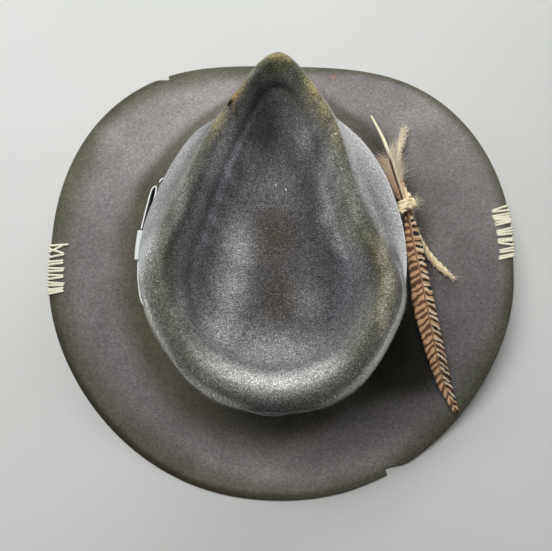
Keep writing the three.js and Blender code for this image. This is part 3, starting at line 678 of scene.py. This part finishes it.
def spot(bearing, reach, rise):
    """A point at a bearing in degrees, with its reach and its rise above the break in millimetres."""
    turn = math.radians(bearing)
    forward = reach * MM * math.cos(turn) - CROWN_BACK
    return Vector((reach * MM * math.sin(turn), forward, BREAK + rise * MM))


def smooth_line(points, count):
    """A centripetal curve through points, at equal steps between each two."""
    inner = [Vector(p) for p in points]
    held = [inner[0] * 2 - inner[1], *inner, inner[-1] * 2 - inner[-2]]
    line = []
    for k in range(count + 1):
        at = k / count * (len(inner) - 1)
        i = min(int(at), len(inner) - 2)
        w = at - i
        a, b, c, d = held[i:i + 4]
        ab, bc, cd = (max((q - p).length, 1e-6) ** 0.5 for p, q in ((a, b), (b, c), (c, d)))
        leave = ((b - a) / ab - (c - a) / (ab + bc) + (c - b) / bc) * bc
        arrive = ((c - b) / bc - (d - b) / (bc + cd) + (d - c) / cd) * bc
        line.append(
            b + leave * w + (c * 3 - b * 3 - leave * 2 - arrive) * w ** 2
            + (b * 2 - c * 2 + leave + arrive) * w ** 3
        )
    return line


def ribbon_loop(name, folds, node):
    line = np.array(smooth_line([spot(bearing, reach, 0) for bearing, reach in folds], BOW_STEPS))
    shares = np.arange(BOW_ROWS + 1) / BOW_ROWS
    up, run = np.meshgrid(shares, lengths_along(line), indexing="ij")
    places = np.tile(line, (BOW_ROWS + 1, 1, 1))
    places[:, :, 2] += BOW_LOW + (BOW_HIGH - BOW_LOW) * up
    index = np.arange(up.size).reshape(up.shape)
    corners = [index[:-1, :-1], index[:-1, 1:], index[1:, 1:], index[1:, :-1]]
    faces = np.stack(corners, axis=-1).reshape(-1, 4)
    mesh = bpy.data.meshes.new(name)
    mesh.from_pydata(places.reshape(-1, 3), [], faces.tolist())
    layer = mesh.uv_layers.new(name="run")
    runs = np.stack([run, up], axis=-1).reshape(-1, 2)
    layer.data.foreach_set("uv", runs[faces.ravel()].astype(np.float32).ravel())
    piece = put_in(name, mesh)
    pick(piece)
    cloth = piece.modifiers.new("thickness", "SOLIDIFY")
    cloth.thickness = RIBBON
    cloth.offset = 0
    bpy.ops.object.modifier_apply(modifier=cloth.name)
    bpy.ops.object.shade_smooth_by_angle(angle=BOW_SHARP)
    piece.data.materials.append(ribbon)
    onto_hat(piece, "ribbon", node)


ribbon_loop("front_loop", FRONT_LOOP, "bow_front_loop")
ribbon_loop("front_tail", FRONT_TAIL, "bow_front_tail")
ribbon_loop("back_loop", BACK_LOOP, "bow_back_loop")

KEEPER_PALE = shade(186, 212, 214)
KEEPER_EDGE = shade(232, 240, 238)
keeper_ribbon = ribbon_finish("pale_grosgrain", KEEPER_PALE, KEEPER_EDGE)
keeper = rounded_copy("bow_keeper", "keeper", crease=0.6, levels=3)
run_around(keeper, "bow_keeper")
keeper.data.materials.append(keeper_ribbon)
onto_hat(keeper, "pale_ribbon", "bow_keeper")

# Feather: a long barred tail feather. Its barbs grow from a springy shaft and hook into two vanes;
# near the quill they are loose down. The twine holds it to the crown's right side.
FEATHER_COLUMNS = ("bearing", "reach", "rise", "shaft", "left", "right")
FEATHER = [
    (30.6, 130.7, 8, 0.7, 0, 0), (40.1, 116.2, 16, 1.3, 0, 0), (52, 102.5, 22.5, 1.4, 1.2, 1.2),
    (66.5, 94.8, 27, 1.3, 0, 0), (72, 93.9, 26.4, 1.3, 3, 4), (84.8, 94.3, 24, 1.2, 6.2, 5.4),
    (103.4, 105.2, 17, 1.1, 9.6, 5.8), (118.8, 127.5, 8, 0.9, 5.8, 6.2),
    (124.4, 144.8, -2.4, 0.7, 3.8, 5.4), (127.9, 164, -9.4, 0.4, 1.4, 1.6),
]
KNOT_ROW = 3                 # rows of the table at the knot and where the vanes start
VANE_ROW = 3.35
FEATHER_STEPS = 108
VANE_DROOP = 0.18
BARB_GAP = 0.42 * MM
BARB_RADIUS = 0.26 * MM
BARB_POINTS = 7
BARB_TURN = (58, 34)         # a barb's angle to the shaft at its root and at its tip
BARB_ARCH = 0.25 * MM
BARB_SHORTEST = 0.9 * MM
LOCK_CHANCE = 0.06           # barbs cling in locks; how often one starts, and how far it turns
LOCK_TURN = 2.5
RAGGED = 0.09
TIP_BARE = 0.6 * MM          # the shaft's tip has no barbs
BARB_FLAT = 0.35             # a barb's thickness as a share of its breadth
SLIM_FROM_KNOT = [-30 * MM, 0, 25 * MM, 70 * MM]  # the shaft thins by its length past the knot
SLIMMING = [1.0, 0.95, 0.6, 0.4]

feather_line = np.array(smooth_line([spot(*row[:3]) for row in FEATHER], FEATHER_STEPS))
feather_run = lengths_along(feather_line)
feather_end = float(feather_run[-1])
row_at = np.linspace(0, len(FEATHER) - 1, FEATHER_STEPS + 1)


def run_at(row):
    return feather_run[np.searchsorted(row_at, row)]


def along_feather(column, run):
    values = np.interp(row_at, range(len(FEATHER)), [row[FEATHER_COLUMNS.index(column)] for row in FEATHER])
    return np.interp(run, feather_run, values) * MM


def feather_place(run):
    return np.stack([np.interp(run, feather_run, feather_line[:, k]) for k in range(3)], axis=-1)


def feather_axes(run):
    step = 0.5 * MM
    along = unit(feather_place(run + step) - feather_place(run - step))
    right = unit(-np.cross(along, [0.0, 0.0, 1.0]))
    face = np.cross(right, along)
    return along, right, face * np.sign(face[..., 2:3])


knot_run = run_at(KNOT_ROW)
slimming = np.interp(feather_run - knot_run, SLIM_FROM_KNOT, SLIMMING)
shaft_radius = along_feather("shaft", feather_run) * slimming
shaft = strand_mesh("feather_shaft", feather_line[None], shaft_radius[None], sides=10)
onto_hat(shaft, "feather")

vane_start = run_at(VANE_ROW)
barb_runs = np.arange(vane_start, feather_run[-1] - TIP_BARE, BARB_GAP)
mean_turn = math.radians(sum(BARB_TURN) / 2)
barb_lines = []
barb_ups = []
barb_uvs = []
for sign, column in ((-1, "left"), (1, "right")):
    breadth = along_feather(column, barb_runs)
    locks = np.cumsum(chance.random(len(barb_runs)) < LOCK_CHANCE)
    lock_turn = chance.normal(0, LOCK_TURN, locks.max() + 1)[locks]
    ragged = 1 - RAGGED * chance.random(len(barb_runs)) ** 2
    along, right, face = feather_axes(barb_runs)
    root = feather_place(barb_runs) + right * sign * (along_feather("shaft", barb_runs) * 0.5)[:, None]
    barb_length = np.maximum(breadth, BARB_SHORTEST) * ragged / math.sin(mean_turn)
    across = np.zeros(len(barb_runs))
    forward = np.zeros(len(barb_runs))
    line = [root]
    uvs = [np.stack([barb_runs, across * sign], axis=-1)]
    for k in range(1, BARB_POINTS):
        share = (k - 0.5) / (BARB_POINTS - 1)
        turn = np.radians(BARB_TURN[0] + (BARB_TURN[1] - BARB_TURN[0]) * share + lock_turn)
        step = barb_length / (BARB_POINTS - 1)
        across = across + step * np.sin(turn)
        forward = forward + step * np.cos(turn)
        fall = -VANE_DROOP * across + BARB_ARCH * np.sin(np.pi * share)
        aside = right * (sign * across)[:, None]
        line.append(root + aside + along * forward[:, None] + face * fall[:, None])
        uvs.append(np.stack([barb_runs + forward, across * sign], axis=-1))
    barb_lines.append(np.stack(line, axis=1))
    barb_uvs.append(np.stack(uvs, axis=1))
    barb_ups.append(face)
barb_taper = np.interp(np.arange(BARB_POINTS), [0, 1, BARB_POINTS - 2, BARB_POINTS - 1], [0.7, 1, 0.9, 0.3])
vanes = strand_mesh(
    "feather_vanes", np.concatenate(barb_lines), barb_taper * BARB_RADIUS, sides=4,
    up=np.concatenate(barb_ups), flat=BARB_FLAT, runs=np.concatenate(barb_uvs),
)
onto_hat(vanes, "feather", "feather")

BAR_PITCH = 4.6 * MM
WIDENING = 60 * MM           # over this length to the tip the bars stand further apart
BARS_FEWER = 2.4             # bars that are missing there
LEFT_FADE = (0.14, 0.38)     # how a bar fades into the tan, in shares of the pitch
RIGHT_FADE = (0.18, 0.28)
MARGIN = (-4 * MM, -7.5 * MM)  # where the left vane's paler margin starts and where it is full
# How far the bars lean back from the shaft, at the knot and at the tip.
LEFT_LEAN = (0.12, 1.0)
RIGHT_LEAN = (0.15, 1.6)
LEFT_TAN = shade(246, 198, 152)
LEFT_MARGIN = shade(255, 208, 154)
RIGHT_CREAM = shade(252, 230, 196)
RIGHT_TAN = shade(206, 156, 108)
LEFT_BAR = shade(114, 74, 50)
RIGHT_BAR = shade(44, 28, 18)
vane_finish, tree, shader = new_finish("barred_vane", Roughness=0.6, Sheen_Weight=0.1)
run, off = run_parts(tree)
place = place_of(tree)
on_right = spread_of(tree, off, -0.2 * MM, 0.2 * MM)


def by_side(left, right):
    """A value for the left vane and one for the right."""
    return sum_of(tree, "MULTIPLY_ADD", on_right, sum_of(tree, "SUBTRACT", right, left), left)


left_lean = spread_of(tree, run, vane_start, feather_end, *LEFT_LEAN)
right_lean = spread_of(tree, run, vane_start, feather_end, *RIGHT_LEAN)
lean_back = by_side(left_lean, right_lean)
off_shaft = sum_of(tree, "MULTIPLY", sum_of(tree, "ABSOLUTE", off), lean_back)
phase = sum_of(tree, "DIVIDE", sum_of(tree, "SUBTRACT", run, off_shaft), BAR_PITCH)
past = spread_of(tree, run, feather_end - WIDENING, feather_end)
fewer = sum_of(tree, "MULTIPLY", sum_of(tree, "POWER", past, 2.0), BARS_FEWER)
phase = sum_of(tree, "SUBTRACT", phase, fewer)
wander = swing_of(tree, noise_of(tree, place, 160), 0.24)
wave = sum_of(tree, "FRACT", sum_of(tree, "ADD", phase, wander))
bar = sum_of(tree, "ABSOLUTE", sum_of(tree, "SUBTRACT", wave, 0.5))
bar = sum_of(tree, "ADD", bar, swing_of(tree, noise_of(tree, place, 240, 1), 0.07))
margin = spread_of(tree, off, *MARGIN, 0.0, 0.7)
left_pale = spread_of(tree, sum_of(tree, "MULTIPLY_ADD", margin, 0.12, bar), *LEFT_FADE)
right_pale = spread_of(tree, bar, *RIGHT_FADE)
every_other = sum_of(tree, "SINE", sum_of(tree, "MULTIPLY", phase, math.pi))
tan = blend_of(tree, margin, LEFT_TAN, LEFT_MARGIN)
cream = blend_of(tree, spread_of(tree, every_other, -0.2, 0.2, 0.0, 0.85), RIGHT_CREAM, RIGHT_TAN)
barbs = spread_of(tree, noise_of(tree, place, 2200, 1), *NOISE_SPAN, 0.75, 1.2)
pale = dimmed(tree, blend_of(tree, on_right, tan, cream), barbs)
bars = blend_of(tree, on_right, LEFT_BAR, RIGHT_BAR)
barred = blend_of(tree, by_side(left_pale, right_pale), bars, pale)
tree.links.new(barred, shader.inputs["Base Color"])
vanes.data.materials.append(vane_finish)

QUILL_CREAM = shade(246, 238, 204)
QUILL_SHADE_BROWN = shade(76, 48, 32)
SHAFT_TAN = shade(212, 166, 128)
SHADE_FROM = (30 * MM, 44 * MM)
shaft_finish, tree, shader = new_finish("feather_shaft", Roughness=0.4)
run, around = run_parts(tree)
# Painted shade: one side of the shaft turns dark brown from 30 to 44 mm along it, and fades to about a
# third over 30 mm past the knot.
leftward = sum_of(tree, "SINE", sum_of(tree, "MULTIPLY", around, 2 * math.pi))
past_knot = spread_of(tree, run, knot_run, knot_run + 30 * MM, 1.0, 0.35)
shaded_side = sum_of(tree, "MULTIPLY", spread_of(tree, run, *SHADE_FROM), past_knot)
shaded_side = sum_of(tree, "MULTIPLY", shaded_side, spread_of(tree, leftward, -0.6, 0.1))
tanning = spread_of(tree, run, knot_run - 6 * MM, knot_run + 6 * MM)
horn = blend_of(tree, shaded_side, blend_of(tree, tanning, QUILL_CREAM, SHAFT_TAN), QUILL_SHADE_BROWN)
tree.links.new(horn, shader.inputs["Base Color"])
shaft.data.materials.append(shaft_finish)

# Tufts of the down: where they grow, in rows of the feather's table; their side, count, angle to the
# shaft, length in millimetres and colour.
TUFT_COLUMNS = ("rows", "side", "count", "turn", "long", "tan")
DOWN_TUFTS = [
    ((1.5, 2.3), 1, 400, (146, 174), (9, 20), (255, 242, 216)),
    ((1.7, 2.4), -1, 460, (140, 176), (7, 17), (250, 228, 196)),
    ((1.9, 2.3), 1, 18, (98, 135), (10, 15), (255, 246, 226)),
    ((2.3, 2.85), 1, 110, (163, 178), (8, 16), (250, 206, 172)),
    ((2.3, 2.85), -1, 220, (164, 178), (8, 16), (244, 204, 170)),
]
FIBRE_POINTS = 7
DOWN_RADIUS = 0.1 * MM
DOWN_SIDES = 3
DOWN_UNDER = 0.9 * MM        # the down leaves the shaft on its underside, a little to its side
DOWN_ASIDE = 0.4 * MM
DOWN_CURL = 0.03
DOWN_STRAY = 0.08
DOWN_SINK = 0.06
DOWN_FADE = (0.75, 1.0)
down_lines = []
down_tints = []


def turned(first, second, turn):
    return first * np.cos(turn)[:, None] + second * np.sin(turn)[:, None]


def stray_lines(roots, headings, lengths, stray, pull=0.0):
    """Fibres that leave their roots along headings, stray at each step, and are pulled aside."""
    point = np.array(roots)
    heading = np.array(headings)
    line = [point]
    for _ in range(FIBRE_POINTS - 1):
        heading = unit(heading + pull + chance.normal(0, stray, heading.shape))
        point = point + heading * (lengths / (FIBRE_POINTS - 1))[:, None]
        line.append(point)
    return np.stack(line, axis=1)


for row in DOWN_TUFTS:
    tuft = dict(zip(TUFT_COLUMNS, row))
    count = tuft["count"]
    rooted = chance.uniform(*(run_at(at) for at in tuft["rows"]), count)
    along, right, face = feather_axes(rooted)
    outer = right * tuft["side"]
    turn = np.radians(chance.uniform(*tuft["turn"], count))
    heading = turned(along, outer, turn)
    heading += face * chance.normal(-DOWN_SINK, DOWN_STRAY, count)[:, None]
    lengths = chance.uniform(*tuft["long"], count) * MM
    roots = feather_place(rooted) - face * DOWN_UNDER + outer * DOWN_ASIDE
    down_lines.append(stray_lines(roots, heading, lengths, DOWN_STRAY, outer * DOWN_CURL))
    fade = chance.uniform(*DOWN_FADE, count)[:, None]
    down_tints.append(np.repeat(shade(*tuft["tan"])[None] * fade, FIBRE_POINTS * DOWN_SIDES, axis=0))
down_taper = np.linspace(1, 0.4, FIBRE_POINTS)
down = strand_mesh("feather_down", np.concatenate(down_lines), down_taper * DOWN_RADIUS, DOWN_SIDES)
onto_hat(down, "feather")
lay_colour(down, "tint", np.concatenate(down_tints))
down_finish, tree, shader = new_finish("tan_down", Roughness=0.8, Sheen_Weight=0.3)
tree.links.new(attribute_of(tree, "tint", "Color"), shader.inputs["Base Color"])
down.data.materials.append(down_finish)

# Twine: three-ply jute, wrapped three times around the quill, knotted, and tucked over and under
# the ribbon. Its two free ends are short and frayed.
TWINE = 4 * MM
PLY_OFF = 1.12 * MM
PLY_RADIUS = 1.04 * MM
PLY_PITCH = 15 * MM
PLY_SIDES = 8
KNOT_BALL_OUT = 5.4 * MM
WRAP_REACH = 3.9 * MM
TUCK_OVER = [(67.6, 92.4, 33), (68.4, 89.6, 34.6), (69, 87.9, 34.4)]
TUCK_UNDER = [(65.4, 90.7, 16), (65.2, 90.6, 9), (65, 91.8, 4.6)]
UPPER_CLEAR = 5.7 * MM
LOWER_CLEAR = 6.8 * MM
END_UPPER = [(58.2, 101.6, 21), (51.6, 109.1, 13), (45.1, 125.5, -1), (40.5, 149.4, -16.3)]
END_LOWER = [
    (70.6, 98.5, 17.5), (77.8, 100.9, 10.5), (83.8, 106.6, 5.4), (89.2, 114.6, 5.2), (93.7, 125.5, 7.2),
]

JUTE_PALE = shade(255, 244, 208)
JUTE_BROWN = shade(222, 188, 134)
JUTE_LOOSE = shade(255, 248, 224)
jute, tree, shader = new_finish("raw_jute", Roughness=0.85, Sheen_Weight=0.2)
run = node_in(tree, "ShaderNodeUVMap", uv_map="run").outputs[0]
stretched = node_in(tree, "ShaderNodeMapping", {"Vector": run, "Scale": (110, 7, 1)}).outputs[0]
fibres = noise_of(tree, stretched, 2.0, 3, 0.6)
dusty = swing_of(tree, noise_of(tree, place_of(tree), 220), 0.2)
amount = sum_of(tree, "ADD", spread_of(tree, fibres, 0.36, 0.58), dusty)
amount = node_in(tree, "ShaderNodeClamp", {0: amount}).outputs[0]
tree.links.new(blend_of(tree, amount, JUTE_BROWN, JUTE_PALE), shader.inputs["Base Color"])
roughen(tree, shader, fibres, 0.6, 0.3 * MM)
loose_jute, _, _ = new_finish("loose_jute", Base_Color=(*JUTE_LOOSE, 1), Roughness=0.8, Sheen_Weight=0.4)


def plies(line, off=PLY_OFF):
    """The three plies of a twine along a line, turning about it."""
    line = np.asarray(line, dtype=float)[None]
    _, normal, across = frames_along(line)
    length = lengths_along(line[0])
    made = []
    for ply in range(3):
        turn = 2 * np.pi * (length / PLY_PITCH + ply / 3)
        swing = np.broadcast_to(np.asarray(off, dtype=float), turn.shape)[:, None]
        made.append(line[0] + swing * turned(normal[0], across[0], turn))
    return np.stack(made)


knot_middle = spot(*FEATHER[KNOT_ROW][:3])
knot_out = Vector((knot_middle.x, knot_middle.y, 0)).normalized()
knot_ball = knot_middle + knot_out * KNOT_BALL_OUT
knot_along, knot_right, knot_face = (axis[0] for axis in feather_axes(np.array([knot_run])))


def even_line(points, count):
    """Points at equal distances along a smooth line."""
    line = np.array(smooth_line(points, count * 3))
    length = lengths_along(line)
    at = np.linspace(0, length[-1], count + 1)
    return np.stack([np.interp(at, length, line[:, k]) for k in range(3)], axis=-1), length[-1]


WRAP_STEPS = 96
WRAP_TURNS = (-0.25, 2.9)
WRAP_HALF = 3.8              # half the length of the quill that the turns cover
wrap_turn = np.linspace(*WRAP_TURNS, WRAP_STEPS) * 2 * np.pi
wrap_shift = np.linspace(-WRAP_HALF, WRAP_HALF, WRAP_STEPS)[:, None] * MM
wrap_out = WRAP_REACH * turned(knot_right, knot_face, wrap_turn)
wrap_line = np.array(knot_middle) + knot_along * wrap_shift + wrap_out
BALL_STEPS = 60
BALL_PLY = 0.8 * MM
BALL_REACH = 2.0             # the knot's three lobes: their mean reach and how far they swing
BALL_SWING = 0.9
ball_turn = np.linspace(0, 2 * np.pi, BALL_STEPS)
ball_side = np.array(knot_out)
ball_up = np.array([0.0, 0.0, 1.0])
ball_along = np.cross(ball_up, ball_side)
ball_reach = (BALL_REACH + BALL_SWING * np.cos(3 * ball_turn))[:, None] * MM
ball_line = np.array(knot_ball) + ball_reach * turned(ball_along, ball_up, 2 * ball_turn)
ball_line += ball_side * (BALL_SWING * MM * np.sin(3 * ball_turn))[:, None]
above = knot_middle + Vector((0, 0, WRAP_REACH))
below = knot_middle - Vector((0, 0, WRAP_REACH))
over_line, _ = even_line([above, *(spot(*row) for row in TUCK_OVER)], count=24)
under_line, _ = even_line([below, *(spot(*row) for row in TUCK_UNDER)], count=40)

tie_lines = (wrap_line, over_line, under_line)
strands = [strand_mesh("strand", plies(line), PLY_RADIUS, PLY_SIDES) for line in tie_lines]
strands.append(strand_mesh("strand", plies(ball_line, BALL_PLY), BALL_PLY, PLY_SIDES))
pick(*strands)
bpy.ops.object.join()
tie = strands[0]
tie.name = "twine_tie"
tie.data.materials.append(jute)
onto_hat(tie, "twine", "twine_tie")


def fray(name, roots, headings, lengths, wildness, radius):
    lines = stray_lines(roots, headings, lengths, wildness)
    piece = strand_mesh(name, lines, np.linspace(1, 0.45, FIBRE_POINTS) * radius, sides=3)
    piece.data.materials.append(loose_jute)
    onto_hat(piece, "twine")
    return piece


END_STEPS = 72
FIBRE_RADIUS = 0.1 * MM
FIBRE_WILDNESS = 0.10
HAIR_LEAN = (0.3, 1.1)
HAIR_LENGTH = (2, 5)
SWELL_SHARE = 0.35
# The brush at each far end: its share of the end, how the plies thin, spread and swell there, the
# count, lean and length of its fibres, and the count of stray hairs.
UPPER_BRUSH = {
    "share": 0.34, "taper": 0.7, "spread": 1.6, "swell": 0,
    "count": 640, "lean": 0.8, "length": (3, 7.5), "hairs": 150,
}
LOWER_BRUSH = {
    "share": 0.2, "taper": 0.6, "spread": -0.75, "swell": 0.3,
    "count": 120, "lean": 0.12, "length": (2, 4.5), "hairs": 240,
}


def twine_end(name, node, spots, clear, brush):
    placed = [spot(*row) for row in spots]
    start = knot_ball + (placed[0] - knot_ball).normalized() * clear
    line, length = even_line([start, *placed], END_STEPS)
    share = np.linspace(0, 1, END_STEPS + 1)
    opened = ease(share, 1 - brush["share"], 1)
    swell = 1 + brush["swell"] * ease(share, 0, SWELL_SHARE)
    radii = PLY_RADIUS * swell * (1 - brush["taper"] * opened)
    off = PLY_OFF * swell * (1 + brush["spread"] * opened)
    cord = strand_mesh(name, plies(line, off), np.broadcast_to(radii, (3, END_STEPS + 1)), PLY_SIDES)
    cord.data.materials.append(jute)
    onto_hat(cord, "twine", node)
    along, normal, across = (axes[0] for axes in frames_along(line[None]))
    at = np.concatenate([
        END_STEPS * (1 - brush["share"] * chance.random(brush["count"]) ** 0.8),
        END_STEPS * chance.random(brush["hairs"]),
    ]).astype(int)
    turn = chance.uniform(0, 2 * np.pi, len(at))
    out = turned(normal[at], across[at], turn)
    roots = line[at] + out * (chance.uniform(0.2, 0.9, len(at)) * TWINE / 2)[:, None]
    is_brush = np.arange(len(at)) < brush["count"]
    lean = np.where(is_brush, brush["lean"] * chance.random(len(at)), chance.uniform(*HAIR_LEAN, len(at)))
    headings = unit(along[at] + out * lean[:, None])
    brush_length = chance.uniform(*brush["length"], len(at))
    lengths = np.where(is_brush, brush_length, chance.uniform(*HAIR_LENGTH, len(at))) * MM
    ends = fray(name + "_fray", roots, headings, lengths, FIBRE_WILDNESS, FIBRE_RADIUS)


twine_end("twine_upper", "twine_end_upper", END_UPPER, UPPER_CLEAR, UPPER_BRUSH)
twine_end("twine_lower", "twine_end_lower", END_LOWER, LOWER_CLEAR, LOWER_BRUSH)

KNOT_HAIRS = 90
KNOT_HAIR_LENGTH = (3, 9)
KNOT_HAIR_WILDNESS = 0.35
KNOT_HAIR_RADIUS = 0.06 * MM
KNOT_HAIR_ROOT = 2.5 * MM    # the hairs start this far from the knot's middle and lean outward
KNOT_HAIR_OUT = 0.6
turns = unit(unit(chance.normal(0, 1, (KNOT_HAIRS, 3))) + np.array(knot_out) * KNOT_HAIR_OUT)
knot_lengths = chance.uniform(*KNOT_HAIR_LENGTH, KNOT_HAIRS) * MM
knot_roots = np.array(knot_ball) + turns * KNOT_HAIR_ROOT
fray("knot_fray", knot_roots, turns, knot_lengths, KNOT_HAIR_WILDNESS, KNOT_HAIR_RADIUS)

# Stitches: whip stitches of thick cream thread over the brim edge, a mend on each side. Each goes
# down through the felt at its hole and comes back around the edge.
THREAD = 0.88 * MM
THREAD_OFF = 0.75            # the thread's middle stands this share of its radius off the felt
THREAD_LAY = 1.6 * MM        # length of one turn of its strands
EDGE_OUT = 3 * MM            # the edge is looked for from here inwards, in small steps
EDGE_STEP = 0.2 * MM
EDGE_IN = 0.3 * MM
EDGE_ROUND = 0.9 * MM        # the thread goes around the edge this far off
# Each stitch: where it meets the edge and where its hole is, x and y in millimetres.
STITCHES = [
    (-164.7, 7.6, -152.0, 9.2), (-164.3, 2.8, -155.9, 7.9), (-164.5, 5.3, -154.7, 2.8),
    (-163.9, -0.9, -154.2, 1.8), (-164.0, -4.2, -154.5, -2.7), (-163.8, -6.3, -154.4, -4.5),
    (-163.5, -8.7, -153.3, -8.5), (-163.3, -11.1, -153.5, -10.0), (-162.7, -13.6, -153.5, -13.6),
    (-162.4, -16.5, -153.4, -14.7), (-162.2, -19.0, -152.3, -19.4), (-162.0, -21.1, -152.6, -20.5),
    (-161.7, -24.0, -152.7, -22.6), (-160.9, -25.1, -153.3, -24.1), (-161.1, -26.9, -152.5, -24.8),
    (161.5, 43.9, 153.6, 41.4), (162.8, 40.7, 153.7, 40.2), (163.0, 38.1, 153.2, 36.8),
    (162.9, 36.0, 153.7, 35.4), (162.9, 34.2, 154.2, 34.0), (163.2, 33.1, 154.6, 31.8),
    (163.5, 31.8, 154.5, 29.7), (164.3, 27.3, 154.8, 25.2), (164.6, 25.2, 154.9, 23.8),
    (164.9, 23.0, 155.3, 22.4), (165.1, 19.5, 155.5, 19.0), (165.2, 18.2, 155.4, 17.6),
    (165.2, 14.5, 155.6, 16.4), (165.5, 13.1, 156.1, 11.3), (165.7, 10.9, 156.3, 9.9),
    (166.0, 8.8, 155.5, 6.7), (165.6, 7.4, 155.5, 5.2),
]
felt_tree = BVHTree.FromPolygons([tuple(p) for p in felt_places], [tuple(t) for t in triangles])
ABOVE = 0.2                  # metres, higher than the hat
STITCH_STEPS = 7


def felt_height(x, y, from_above):
    down = -1 if from_above else 1
    hit = felt_tree.ray_cast(Vector((x, y, ABOVE if from_above else -ABOVE)), Vector((0, 0, down)))
    return None if hit[0] is None else hit[0].z


def stitch_line(edge_x, edge_y, hole_x, hole_y):
    hole = Vector((hole_x, hole_y)) * MM
    edge = Vector((edge_x, edge_y)) * MM
    outward = (edge - hole).normalized()
    edge_place = edge + outward * EDGE_OUT
    while felt_height(*edge_place, True) is None:
        edge_place = edge_place - outward * EDGE_STEP
    edge_place = edge_place - outward * EDGE_IN
    top = []
    under = []
    for k in range(STITCH_STEPS):
        at = hole.lerp(edge_place, k / (STITCH_STEPS - 1))
        top.append(Vector((at.x, at.y, felt_height(at.x, at.y, True) + THREAD * THREAD_OFF)))
        under.append(Vector((at.x, at.y, felt_height(at.x, at.y, False) - THREAD * THREAD_OFF)))
    rim = (top[-1] + under[-1]) / 2 + Vector((*(outward * EDGE_ROUND), 0))
    inside = (top[0] + under[0]) / 2
    return [inside, *top, rim, *reversed(under), inside]


stitch_lines = [even_line(stitch_line(*row), count=44)[0] for row in STITCHES]
stitches = strand_mesh("brim_stitches", np.array(stitch_lines), THREAD, sides=8)
onto_hat(stitches, "twine")
THREAD_CREAM = shade(255, 251, 226)
thread_finish, tree, shader = new_finish("cream_thread", Roughness=0.7, Sheen_Weight=0.15)
run, around = run_parts(tree)
lay = sum_of(tree, "ADD", sum_of(tree, "DIVIDE", run, THREAD_LAY), sum_of(tree, "MULTIPLY", around, 2.0))
strand = sum_of(tree, "SINE", sum_of(tree, "MULTIPLY", lay, 2 * math.pi))
corded = dimmed(tree, tuple(THREAD_CREAM), spread_of(tree, strand, -1, 1, 0.88, 1.1))
tree.links.new(corded, shader.inputs["Base Color"])
roughen(tree, shader, strand, 0.7, 0.2 * MM)
stitches.data.materials.append(thread_finish)

# Lint: three flecks of white wool that cling to the crown's top. Each is a short matted thread that
# lies loose on the nap.
LINT_COLUMNS = ("x", "y", "bearing")
LINT = [(31.6, 51.5, 50), (5.3, 26.4, -35), (-0.5, 29.2, 20)]
LINT_LONG = 1.8 * MM
LINT_RADIUS = 0.42 * MM
LINT_OFF = 0.6               # its middle stands this share of its radius off the felt
LINT_TAPER = 1.3
LINT_WHITE = shade(255, 255, 250)
lint_shares = np.array([-0.5, -0.25, 0, 0.25, 0.5])
lint_lines = []
for row in LINT:
    fleck = dict(zip(LINT_COLUMNS, row))
    turn = math.radians(fleck["bearing"])
    line = []
    for share in lint_shares:
        x = fleck["x"] * MM + math.sin(turn) * LINT_LONG * share
        y = fleck["y"] * MM + math.cos(turn) * LINT_LONG * share
        line.append((x, y, felt_height(x, y, True) + LINT_RADIUS * LINT_OFF))
    lint_lines.append(line)
lint_radii = (1 - LINT_TAPER * np.abs(lint_shares)) * LINT_RADIUS
lint = strand_mesh("crown_lint", lint_lines, lint_radii, sides=6)
onto_hat(lint, "felt")
lint_finish, _, _ = new_finish("white_lint", Base_Color=(*LINT_WHITE, 1), Roughness=0.9)
lint.data.materials.append(lint_finish)

# Floor: a plain pale sheet that the hat stands on. It is laid flat at the height of the brim's
# lowest edge and reaches far past the picture.
FLOOR_SIZE = 6
FLOOR_DARK = (0.72, 0.74, 0.71)
FLOOR_PALE = (0.78, 0.79, 0.77)
bpy.ops.mesh.primitive_plane_add(size=FLOOR_SIZE)
floor = bpy.context.object
floor.name = "floor"
floor_finish, tree, shader = new_finish("pale_floor", Roughness=0.9)
uneven = spread_of(tree, noise_of(tree, place_of(tree), 3, 3), *NOISE_SPAN)
tree.links.new(blend_of(tree, uneven, FLOOR_DARK, FLOOR_PALE), shader.inputs["Base Color"])
floor.data.materials.append(floor_finish)

# Light: a soft ceiling light to the front left, a wide window in front of the hat, and a weak
# even sky that lifts the shadows.
SKY = 0.06
world = bpy.data.worlds.new("studio")
bpy.context.scene.world = world
world.use_nodes = True
sky = world.node_tree.nodes["Background"].inputs
sky["Color"].default_value = (1, 1, 1, 1)
sky["Strength"].default_value = SKY


def softbox(name, place, target, size, power):
    lamp = bpy.data.lights.new(name, "AREA")
    lamp.shape = "RECTANGLE"
    lamp.size, lamp.size_y = size
    lamp.energy = power
    holder = put_in(name, lamp)
    holder.location = place
    holder.rotation_euler = (Vector(target) - Vector(place)).to_track_quat("-Z", "Y").to_euler()


softbox("ceiling", place=(-0.34, 0.42, 1.27), target=(0, 0, 0.05), size=(0.7, 0.7), power=13.9)
softbox("window", place=(0.05, 1.35, 0.7), target=(0, 0, 0.08), size=(1.6, 0.6), power=9.1)

# Camera: held by hand above the hat and a little behind it, looking down and forward, with the
# field of view of a phone.
EYE = Vector((6.916, -72.903, 419.535)) * MM
LOOK = Vector((-0.01921438, 0.16143827, -0.98669575))
UP = Vector((-0.02603527, 0.9864625, 0.1619071))
camera = put_in("camera", bpy.data.cameras.new("camera"))
camera.data.lens = 36
camera.data.sensor_width = 36
camera.data.clip_start = 0.01
sideways = LOOK.cross(UP)
camera.matrix_world = Matrix.Translation(EYE) @ Matrix((sideways, UP, -LOOK)).transposed().to_4x4()
bpy.context.scene.camera = camera
bpy.context.scene.view_settings.view_transform = "Standard"
